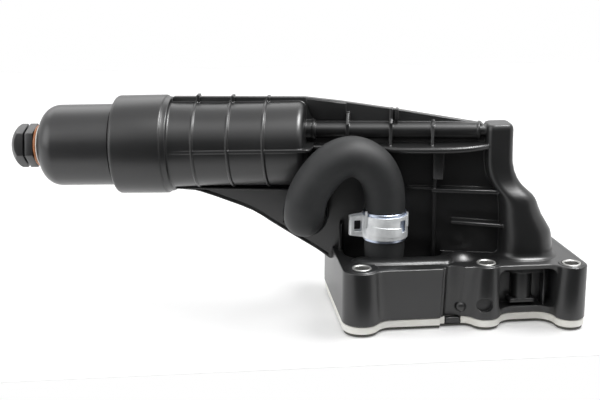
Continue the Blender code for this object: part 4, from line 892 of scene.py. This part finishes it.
def recess_rim():
    """The broad rounded lip in front of the bay, with rounded ends."""
    middle, radius, flatness = TOP_Z - 0.3, 6.4, 0.42
    line = [(-66.0, -22.0), (-63.5, -26.5), (-59.0, -29.6), (-52.0, -31.2), (-40.0, -32.0), (-28.0, -32.2),
            (-16.0, -32.4), (-9.0, -33.0), (-4.6, -34.2)]
    path = smooth_path([(x, y, middle) for x, y in line], 4)
    last = len(path) - 1
    radii = [radius * (0.3 + 0.7 * math.sin(min(i, last - i, 4) * math.pi / 8.0)) for i in range(last + 1)]
    bm = lofted(swept_rings(path, radii, 24, Vector((0.0, 0.0, 1.0))))
    for vert in bm.verts:
        vert.co.z = middle + (vert.co.z - middle) * flatness
    return bm


def window_cut():
    return upright(rounded(rectangle(22.8, 59.4, 11.4, 38.8), 4.0, 6), -70.0, WINDOW_BACK - 1.0)


def window_pillar():
    """The half-round pillar in the window, standing on a small ledge, and the fin beside it."""
    center, radius = (41.2, -30.6), 6.9
    foot = [(center[0] + radius, WINDOW_BACK), (center[0] - radius, WINDOW_BACK)]
    pillar = slab(arc(center, radius, 180.0, 360.0, 24) + foot, 15.4, 40.4)
    ledge = slab(rounded(rectangle(32.0, 49.0, -37.8, WINDOW_BACK), 1.2, 3), 13.4, 16.0)
    soften(ledge, 0.6)
    fin = soften(slab(rectangle(54.0, 55.6, -37.4, WINDOW_BACK), 11.0, 39.4), 0.3)
    return [pillar, ledge, fin]


def flute_cut():
    """The hollow in the front wall above the locating tab: steep on its left, rising gently to the right."""
    low, lean = -2.0, 0.168
    line = [(-14.0, -56.0), (-13.8, -49.0), (-13.2, -42.0), (-11.4, -37.6), (-8.4, -36.2), (-4.6, -36.6),
            (-1.0, -38.6), (2.0, -42.2), (4.0, -47.0), (4.8, -56.0)]
    path = smooth_path([(x, y, 0.0) for x, y in line], 4)
    bm = slab([(p.x, p.y) for p in path], low, 50.0)
    for vert in bm.verts:
        vert.co.y -= lean * (vert.co.z - low)
    return bm


def locating_tab():
    return soften(slab(rounded(rectangle(-10.3, -0.7, -40.6, -35.0), 1.0, 4), 2.2, 6.2), 0.6)


def tab_bump():
    """The round swelling above the tab."""
    bm = bmesh.new()
    bmesh.ops.create_uvsphere(bm, u_segments=32, v_segments=20, radius=1.0)
    bmesh.ops.scale(bm, verts=bm.verts, vec=(4.0, 3.4, 3.6))
    return shifted(bm, (-0.4, -40.0, 13.8))


def bay_end_swelling():
    """The low round swelling at the bay's right end."""
    profile = [(9.0, 0.0), (9.0, 5.4), (36.0, 5.4), (41.6, 10.4), (42.3, 8.8), (43.2, 7.4), (44.3, 6.0), (45.4, 4.6),
               (46.1, 3.1), (46.5, 1.5), (46.6, 0.0)]
    bm = standing(turned(profile, 48))
    bmesh.ops.scale(bm, verts=bm.verts, vec=(1.25, 1.0, 1.0))
    return shifted(bm, (0.8, -28.2, 0.0))


def foot_stub():
    return standing(turned(stub_profile(32.0, 41.0, 66.0), 48), FOOT_STUB)


def round_cut(center, radius, low, high):
    steps = 40
    return slab(arc(center, radius, 0.0, 360.0 - 360.0 / steps, steps - 1), low, high)


POCKETS = ((-27.0, -5.0, -28.0, 6.0), (5.0, 26.0, -24.0, 10.0), (30.0, 62.0, 4.0, 30.0), (-27.0, -5.0, 11.0, 32.0))
INLET = WEB @ Vector((*INLET_PLACE, 0.0))


def flange_holes(bolt_top, outlet_top, inlet_top, stub_top, pocket_top):
    """Bolt holes, the three ports and the core pockets as cutters, each up to its own height."""
    cuts = [round_cut(center, BOLT_BORE_R, CUT_LOW, bolt_top) for center in BOSS.values()]
    cuts += [round_cut(OUTLET, PORT_R, CUT_LOW, outlet_top), round_cut(INLET, PORT_R, CUT_LOW, inlet_top),
             round_cut(FOOT_STUB, STUB_BORE_R, CUT_LOW, stub_top)]
    cuts += [slab(rounded(rectangle(*sides), 4.0, 4), CUT_LOW, pocket_top) for sides in POCKETS]
    return cuts


def bolt_rims():
    """The raised ring of the moulding round each limiter."""
    low = TOP_Z - 2.0
    rims = []
    for name, center in BOSS.items():
        edge = BOSS_R[name] - 1.8
        profile = [(low, 6.6), (TOP_Z + 0.2, 6.6), (TOP_Z + 0.4, 6.9), (TOP_Z + 0.4, edge - 0.3), (TOP_Z + 0.1, edge),
                   (low, edge)]
        rims.append(standing(turned(profile, 64, closed=True), (*center, 0.0)))
    return rims


def carved_base():
    """The block with its bay, window, flute, holes, ports and pockets, and the dimple in the middle boss."""
    block = carved(base_block(), [recess_cut(), window_cut(), flute_cut()])
    dimple = upright(rounded(rectangle(8.2, 18.0, 12.0, 21.4), 4.4, 8), -53.0, -47.0)
    return carved(block, flange_holes(TOP_Z + 4.0, 40.0, 30.0, 18.9, FOOT_Z + 18.0) + [dimple])


# housing: all forms in one moulding


def housing_moulding():
    canister = [canister_shell(), seam_rib()] + tube_rings()
    plate = [web_plate(), web_panel(), web_end_bevel(), keel_lip(), tube_ledge(), end_boss(), shelf(), gusset(),
             rear_stub(), inlet_duct()]
    parts = [moved(bm, CANISTER) for bm in canister]
    parts += [moved(bm, WEB) for bm in plate + oil_pipe() + web_ribs() + web_top_nubs()]
    parts += [column(), column_foot(), carved_base(), recess_rim(), locating_tab(), tab_bump(),
              bay_end_swelling(), foot_stub()]
    parts += window_pillar() + bolt_rims()
    piece("housing_moulding", joined(parts), "black_nylon", "housing", ["housing_body"], 32.0)


# flange sheets and limiters


def flange_sheets():
    """The cream gasket, with a notch for the locating tab, and the thin seal under it."""
    edge, above = 0.35, 9.0
    for node, low, high, inset, slot in (("flange_gasket", GASKET_LOW, GASKET_TOP, 0.4, "cream_gasket"),
                                         ("flange_seal", 0.0, SEAL_TOP, 1.2, "seal_rubber")):
        levels = ((low, edge), (low + edge, 0.05), ((low + high) / 2.0, 0.0), (high - edge, 0.05), (high, edge))
        sheet = lofted([base_level(z, 0.0, inset + more) for z, more in levels])
        cuts = flange_holes(*[above] * 5)
        if node == "flange_gasket":
            cuts.append(slab(rectangle(-10.8, -0.2, -50.0, -37.1), CUT_LOW, above))
        piece(node + "_sheet", carved(sheet, cuts), slot, "housing", [node])


def limiters():
    low, top, bore, radius = GASKET_LOW, 42.5, 4.5, 6.25
    profile = [(low, bore), (low, radius - 0.25), (low + 0.25, radius), (top - 0.4, radius), (top, radius - 0.35),
               (top, bore + 0.6), (top - 0.5, bore)]
    for name, center in BOSS.items():
        bm = standing(turned(profile, 48, closed=True), (*center, 0.0))
        piece("limiter_" + name, bm, "limiter_steel", "housing", ["compression_limiter_" + name])


# hose and clamps


def hose_line():
    """Centre line of the hose in the web's frame, from the foot spigot to the spigot on the web."""
    foot = TO_WEB @ Vector((FOOT_STUB.x, FOOT_STUB.y, 48.0))
    top, bend = 109.0, 16.5
    route = [foot + Vector((0.0, 0.0, rise)) for rise in (0.0, 6.0, 12.5, 19.0, 25.0)]
    route += [Vector((u, v, top - drop)) for u, v, drop in (
        (54.5, -18.1, 27.0), (53.1, -19.3, 17.5), (49.0, -20.8, 8.8), (42.8, -22.5, 3.0), (35.5, -24.3, 0.0),
        (28.0, -26.2, 0.9), (20.5, -28.3, 5.2), (13.8, -30.5, 12.4), (9.2, -32.0, 19.5))]
    for k in range(7):
        turn = math.radians(15.0 * k)
        left = 1.0 - math.sin(turn)
        route.append(REAR_STUB + Vector((3.4 * left, -16.0 - bend * math.cos(turn), bend * left)))
    return route + [REAR_STUB + Vector((0.0, v, 0.0)) for v in (-12.0, -8.0, -4.5)]


def coolant_hose():
    """The hose as a thick tube with slightly rounded ends; it reaches down into the bay's lip."""
    path = smooth_path(hose_line(), 4)
    path = [Vector((path[0].x, path[0].y, 42.6))] + path
    outer = [HOSE_R] * len(path)
    outer[0] = outer[-1] = HOSE_R - 0.5
    rings = swept_rings(path, outer, 48) + swept_rings(path, HOSE_BORE_R, 48)[::-1]
    bm = moved(lofted(rings, cyclic=True), WEB)
    piece("moulded_hose", bm, "hose_rubber", "housing", ["coolant_hose"], 50.0)


def keyhole(radius, half_gap, reach):
    """A circle that opens on the -x side into a narrow loop."""
    turn = 180.0 - math.degrees(math.asin(half_gap / radius))
    corner = [(-reach + 1.2, half_gap), (-reach + 0.3, half_gap * 0.75), (-reach, half_gap * 0.3)]
    end = [(x, -y) for x, y in corner] + corner[::-1]
    return arc((0.0, 0.0), radius, turn, -turn, 56) + end


def clamp(name, place, width, liner_width, window, nodes, coats=(None, None)):
    """A constant-tension band clamp: band, ear loop with its window, tongue and two gripping tabs."""
    outer = HOSE_R + 1.9
    thickness = 0.8
    half = width / 2.0
    reach = outer + 8.3
    outside, inside = keyhole(outer, 3.0, reach), keyhole(outer - thickness, 2.2, reach - thickness)
    rings = [[Vector((x, y, z)) for x, y in line]
             for line, z in ((outside, -half), (outside, half), (inside, half), (inside, -half))]
    band = lofted(rings, cyclic=True)
    for vert in band.verts:
        if vert.co.x < -outer:
            vert.co.z *= 0.84
    grip = upright(rounded(rectangle(-reach + 3.0, -outer - 0.4, -window * 0.56, window * 0.56), 0.6, 4), -6.0, 6.0)
    slot = upright(rounded(rectangle(outer * 0.52, outer * 0.78, -width * 0.2, width * 0.34), 0.8, 4), -20.0, -4.0)
    band = carved(band, [grip, slot])
    soften(band, 0.12, 1, 60.0)
    start, end = -150.0, -52.0
    tongue = slab(arc((0.0, 0.0), outer + 0.35, start, end, 30) + arc((0.0, 0.0), outer - 0.2, end, start, 30),
                  -width * 0.3, width * 0.14)
    for vert in tongue.verts:
        vert.co.z -= 0.07 * (vert.co.x + outer) * (1.0 if vert.co.z > -width * 0.1 else 0.5)
    tabs = [slab(rectangle(-13.9, -12.6, -8.4, -7.4), 0.0, half + 3.4),
            slab(rectangle(13.0, 14.0, -6.9, -5.9), 0.0, half + 1.8)]
    whole = joined([band, soften(tongue, 0.15, 1, 60.0)] + tabs)
    piece(name, moved(whole, place), "zinc", "housing", [nodes[0]], 40.0, coats[0])
    low = HOSE_R + 0.3
    edge = liner_width / 2.0
    profile = [(-edge, low), (-edge, low + 0.3), (-edge + 0.2, low + 0.5), (edge - 0.2, low + 0.5),
               (edge, low + 0.3), (edge, low)]
    liner = standing(turned(profile, WIDE_STEPS, closed=True))
    piece(name + "_liner", moved(liner, place), "liner_steel", "housing", [nodes[1]], 40.0, coats[1])


def clamps():
    """The bright front clamp, and the rear one, turned away, in near-black steel that paints the shade it sits in
    behind the hose.
    """
    place = Matrix.Translation(FOOT_STUB + Vector((0.0, 0.0, CLAMP_Z)))
    clamp("band_clamp_front", place, 14.8, 18.6, 6.6, ("hose_clamp_front", "clamp_liner_front"))
    facing = Matrix.Rotation(math.pi / 2.0, 4, "X") @ Matrix.Rotation(math.radians(225.0), 4, "Z")
    rear = WEB @ Matrix.Translation(REAR_STUB + Vector((0.0, -9.3, 0.0))) @ facing
    # the rear clamp's near-black coats paint the shade that it sits in behind the hose
    clamp("band_clamp_rear", rear, 7.4, 8.8, 3.6, ("hose_clamp_rear", "clamp_liner_rear"),
          ("blackened_steel", "blackened_steel"))


# cap, hexagon drive and drain plug


def hexagon():
    """Corners of the hexagon that the drive and the plug share."""
    corner = HEX_FLATS / 2.0 / math.cos(math.pi / 6.0)
    return arc((0.0, 0.0), corner, 15.0, 315.0, 5)


def screw_cap():
    """The domed cap: end rim, outside, skirt end, then back along the inside."""
    groove_low, groove_high = CAP_GROOVE_X - 1.8, CAP_GROOVE_X + 1.8
    wide = CAP_R + 0.45
    profile = [(DOME_X, 7.9), (DOME_X, 13.9), (DOME_X + 0.4, 14.3)]
    profile += arc((DOME_X + 14.1, wide - 12.6), 12.6, 180.0, 90.0, 24)
    profile += [(-150.0, wide), (MOUTH_X - 1.6, wide), (MOUTH_X - 1.2, CAP_R), (groove_low, CAP_R),
                (groove_low, 23.3), (groove_high, 23.3), (groove_high, CAP_R), (SKIRT_X - 1.2, CAP_R),
                (SKIRT_X, 25.1), (SKIRT_X, 23.7), (groove_high + 3.0, 23.7), (groove_high, 21.9),
                (groove_low, 21.9), (groove_low - 3.0, 23.7)]
    profile += arc((DOME_X + 12.0, CAP_R - 12.0), 9.4, 90.0, 180.0, 12)
    profile += [(DOME_X + 2.6, 7.9)]
    bm = moved(turned(profile, WIDE_STEPS, closed=True), CANISTER)
    piece("screw_cap", bm, "cap_nylon", "cap", ["filter_cap"], 32.0)


def sealing_ring(name, station, inner, section, slot, body, node, steps=72):
    """A sealing ring, round in section."""
    radius = section / 2.0
    profile = arc((station, inner + radius), radius, 0.0, 340.0, 17)
    piece(name, moved(turned(profile, steps, closed=True), CANISTER), slot, body, [node], 60.0)


def drive():
    """The hexagon under the plug with its neck and its lip in the dome; the rings on either side of the dome."""
    lip_x = DOME_X + 2.9
    block = soften(sideways(hexagon(), DRIVE_FACE_X + 2.2, DRIVE_SEAT_X), 0.4, 3)
    neck = spindle(DRIVE_SEAT_X - 2.0, DOME_X + 3.0, 7.6, 48)
    lip = turned([(lip_x, 0.0), (lip_x, 9.6), (lip_x + 0.4, 10.0), (lip_x + 2.0, 10.0), (lip_x + 2.0, 0.0)], 48)
    whole = carved(block, [neck, lip], "UNION")
    bore = spindle(DRIVE_FACE_X - 2.0, DOME_X + 8.0, 6.4, 48)
    piece("hexagon_drive", moved(carved(whole, [bore]), CANISTER), "cap_nylon", "cap", ["drive_hex"], 30.0)
    sealing_ring("drive_sealing_ring", DOME_X - 1.5, 11.5, 2.1, "amber_rubber", "cap", "drive_hex_o_ring")
    backing = turned([(DOME_X - 0.5, 8.2), (DOME_X - 0.5, 13.9), (DOME_X - 0.3, 14.1), (DOME_X + 0.3, 14.1),
                      (DOME_X + 0.3, 8.2)], WIDE_STEPS, closed=True)
    piece("backing_ring", moved(backing, CANISTER), "cream_gasket", "cap")
    sealing_ring("cap_sealing_ring", CAP_GROOVE_X, 23.6, 2.7, "black_rubber", "cap", "cap_o_ring", WIDE_STEPS)


def plug():
    """Hexagon head with a domed face, its shank and the sealing ring in the shank's groove."""
    back = DRIVE_FACE_X + 0.9
    front = back - 10.7
    block = soften(sideways(hexagon(), front, back), 0.5, 3)
    dome = [(x - 0.05, r * 1.24) for x, r in arc((front + 13.5, 0.0), 13.5, 180.0, 112.0, 16)]
    dome += [(dome[-1][0] + 0.9, 16.4), (back + 1.0, 16.4), (back + 1.0, 0.0)]
    head = carved(block, [turned(dome, WIDE_STEPS)], "INTERSECT")
    seat, groove, tip = DRIVE_FACE_X - 0.3, DRIVE_FACE_X + 4.0, DRIVE_FACE_X + 15.0
    radius = 6.0
    shank = turned([(back - 1.0, 0.0), (back - 1.0, 11.8), (seat, 11.8), (seat, radius), (groove - 1.1, radius),
                    (groove - 1.1, 4.4), (groove + 1.1, 4.4), (groove + 1.1, radius), (tip - 1.0, radius),
                    (tip, radius - 1.0), (tip, 0.0)], 60)
    whole = carved(head, [shank], "UNION")
    piece("plug_head_and_shank", moved(whole, CANISTER), "cap_nylon", "plug", ["drain_plug"], 30.0)
    sealing_ring("plug_sealing_ring", groove, 4.7, 1.3, "black_rubber", "plug_seal", "drain_plug_o_ring", 48)


# valve springs, and the finish of the inner nodes


def valve_springs():
    """Coils of round wire, each standing in its spring's box."""
    turns, steps, radius, wire_r, gap = 4, 20, 5.2, 0.55, 0.7
    for valve in ("check_valve", "bypass_valve"):
        low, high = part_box(valve + "_spring")
        center = (low + high) * MM / 2.0
        bottom, top = low.z * MM + gap, high.z * MM - gap
        path = []
        for i in range(turns * steps + 1):
            turn = math.tau * i / steps
            path.append(Vector((center.x + radius * math.cos(turn), center.y + radius * math.sin(turn),
                                bottom + (top - bottom) * i / (turns * steps))))
        coil = piece(valve + "_coil", lofted(swept_rings(path, wire_r, 12)), "spring_steel", "housing",
                     [valve + "_spring"], 50.0)
        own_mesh(coil)


def finish_inner_nodes():
    """CAD nodes that keep their shape get their finish."""
    finishes = {
        "grey_nylon": ("filter_standpipe", "element_end_cap_outer", "element_end_cap_inner", "element_core"),
        "filter_paper": ("filter_media",),
        "black_rubber": ("element_grommet",),
        "valve_steel": ("check_valve_seat", "check_valve_disc", "bypass_valve_seat", "bypass_valve_disc"),
    }
    for finish, nodes in finishes.items():
        for node in nodes:
            for place in frame["nodes"][node].material_slots:
                place.material = FINISHES[finish]


# floor, light and camera


def world():
    """White to the eye and in reflections, softer as light."""
    scene_world = bpy.data.worlds.new("studio")
    bpy.context.scene.world = scene_world
    scene_world.use_nodes = True
    tree = scene_world.node_tree
    soft, white = tree.nodes["Background"], tree.nodes.new("ShaderNodeBackground")
    for background, strength in ((soft, 0.52), (white, 1.0)):
        background.inputs["Color"].default_value = (1.0, 1.0, 1.0, 1.0)
        background.inputs["Strength"].default_value = strength
    path = tree.nodes.new("ShaderNodeLightPath")
    seen = path.outputs["Is Camera Ray"]
    for kind in ("Is Glossy Ray", "Is Transmission Ray"):
        either = tree.nodes.new("ShaderNodeMath")
        either.operation = "MAXIMUM"
        tree.links.new(seen, either.inputs[0])
        tree.links.new(path.outputs[kind], either.inputs[1])
        seen = either.outputs[0]
    blend = tree.nodes.new("ShaderNodeMixShader")
    for index, socket in enumerate((seen, soft.outputs[0], white.outputs[0])):
        tree.links.new(socket, blend.inputs[index])
    tree.links.new(blend.outputs[0], tree.nodes["World Output"].inputs[0])


def area_light(name, place, size, power, diffuse=True):
    """A softbox that faces the part; one that isn't diffuse only adds its reflection."""
    light = bpy.data.lights.new(name, "AREA")
    light.shape = "RECTANGLE"
    light.size, light.size_y = size
    light.energy = power
    obj = linked(name, light)
    obj.location = place
    obj.rotation_euler = (PART_MIDDLE - Vector(place)).to_track_quat("-Z", "Y").to_euler()
    obj.visible_diffuse = diffuse


def floor():
    """The pale table that the part stands on; it ends a little in front of the part."""
    finish = Finish("floor", (0.93, 0.93, 0.93), 0.9)
    seen = finish.mix(finish.node("LightPath"), (0.0, 0.0, 0.0), (0.17, 0.17, 0.17))
    mirrored = finish.node("LightPath", output="Is Glossy Ray")
    finish.set("Emission Color", finish.mix(mirrored, seen, (0.34, 0.34, 0.34)))
    finish.set("Emission Strength", 1.0)
    mesh = mesh_from("floor", slab(rectangle(-3.0, 3.0, -0.097, 0.95), -0.0007, -0.0005))
    mesh.materials.append(finish.material)
    obj = linked("floor", mesh)


def dark_side():
    """The unlit side of the room behind the camera; only the part's reflections show it."""
    bm = bmesh.new()
    bmesh.ops.create_grid(bm, x_segments=1, y_segments=1, size=1.0)
    mesh = mesh_from("dark_side", bm)
    mesh.materials.append(Finish("dark_side", (0.05, 0.05, 0.05), 0.9).material)
    obj = linked("dark_side", mesh)
    obj.location = (-0.05, -1.9, -0.02)
    obj.rotation_euler = (math.radians(90.0), 0.0, 0.0)
    obj.scale = (2.2, 1.1, 1.0)
    obj.visible_camera = False


def studio():
    world()
    floor()
    dark_side()
    area_light("back_softbox", (-0.20, 0.95, 1.00), (1.6, 0.7), 6.0)
    area_light("right_softbox", (0.52, -0.05, 0.95), (0.5, 0.5), 4.0)
    area_light("right_glint", (0.28, -0.24, 0.88), (0.5, 0.4), 16.0, False)
    area_light("left_softbox", (-1.05, -0.25, 0.55), (0.7, 0.7), 3.5)
    area_light("front_fill", (-0.15, -0.70, 1.30), (1.2, 0.6), 4.0)


def camera():
    lens = bpy.data.cameras.new("photo_camera")
    lens.sensor_width = 36.0
    lens.lens = 78.0
    lens.clip_start = 0.01
    obj = linked("photo_camera", lens)
    obj.location = (-0.1927, -0.8069, 0.3013)
    obj.rotation_euler = (math.radians(74.5), 0.0, math.radians(-6.6))
    bpy.context.scene.camera = obj


bpy.context.scene.view_settings.view_transform = "Standard"
camera()
studio()
housing_moulding()
flange_sheets()
limiters()
coolant_hose()
clamps()
screw_cap()
drive()
plug()
valve_springs()
finish_inner_nodes()
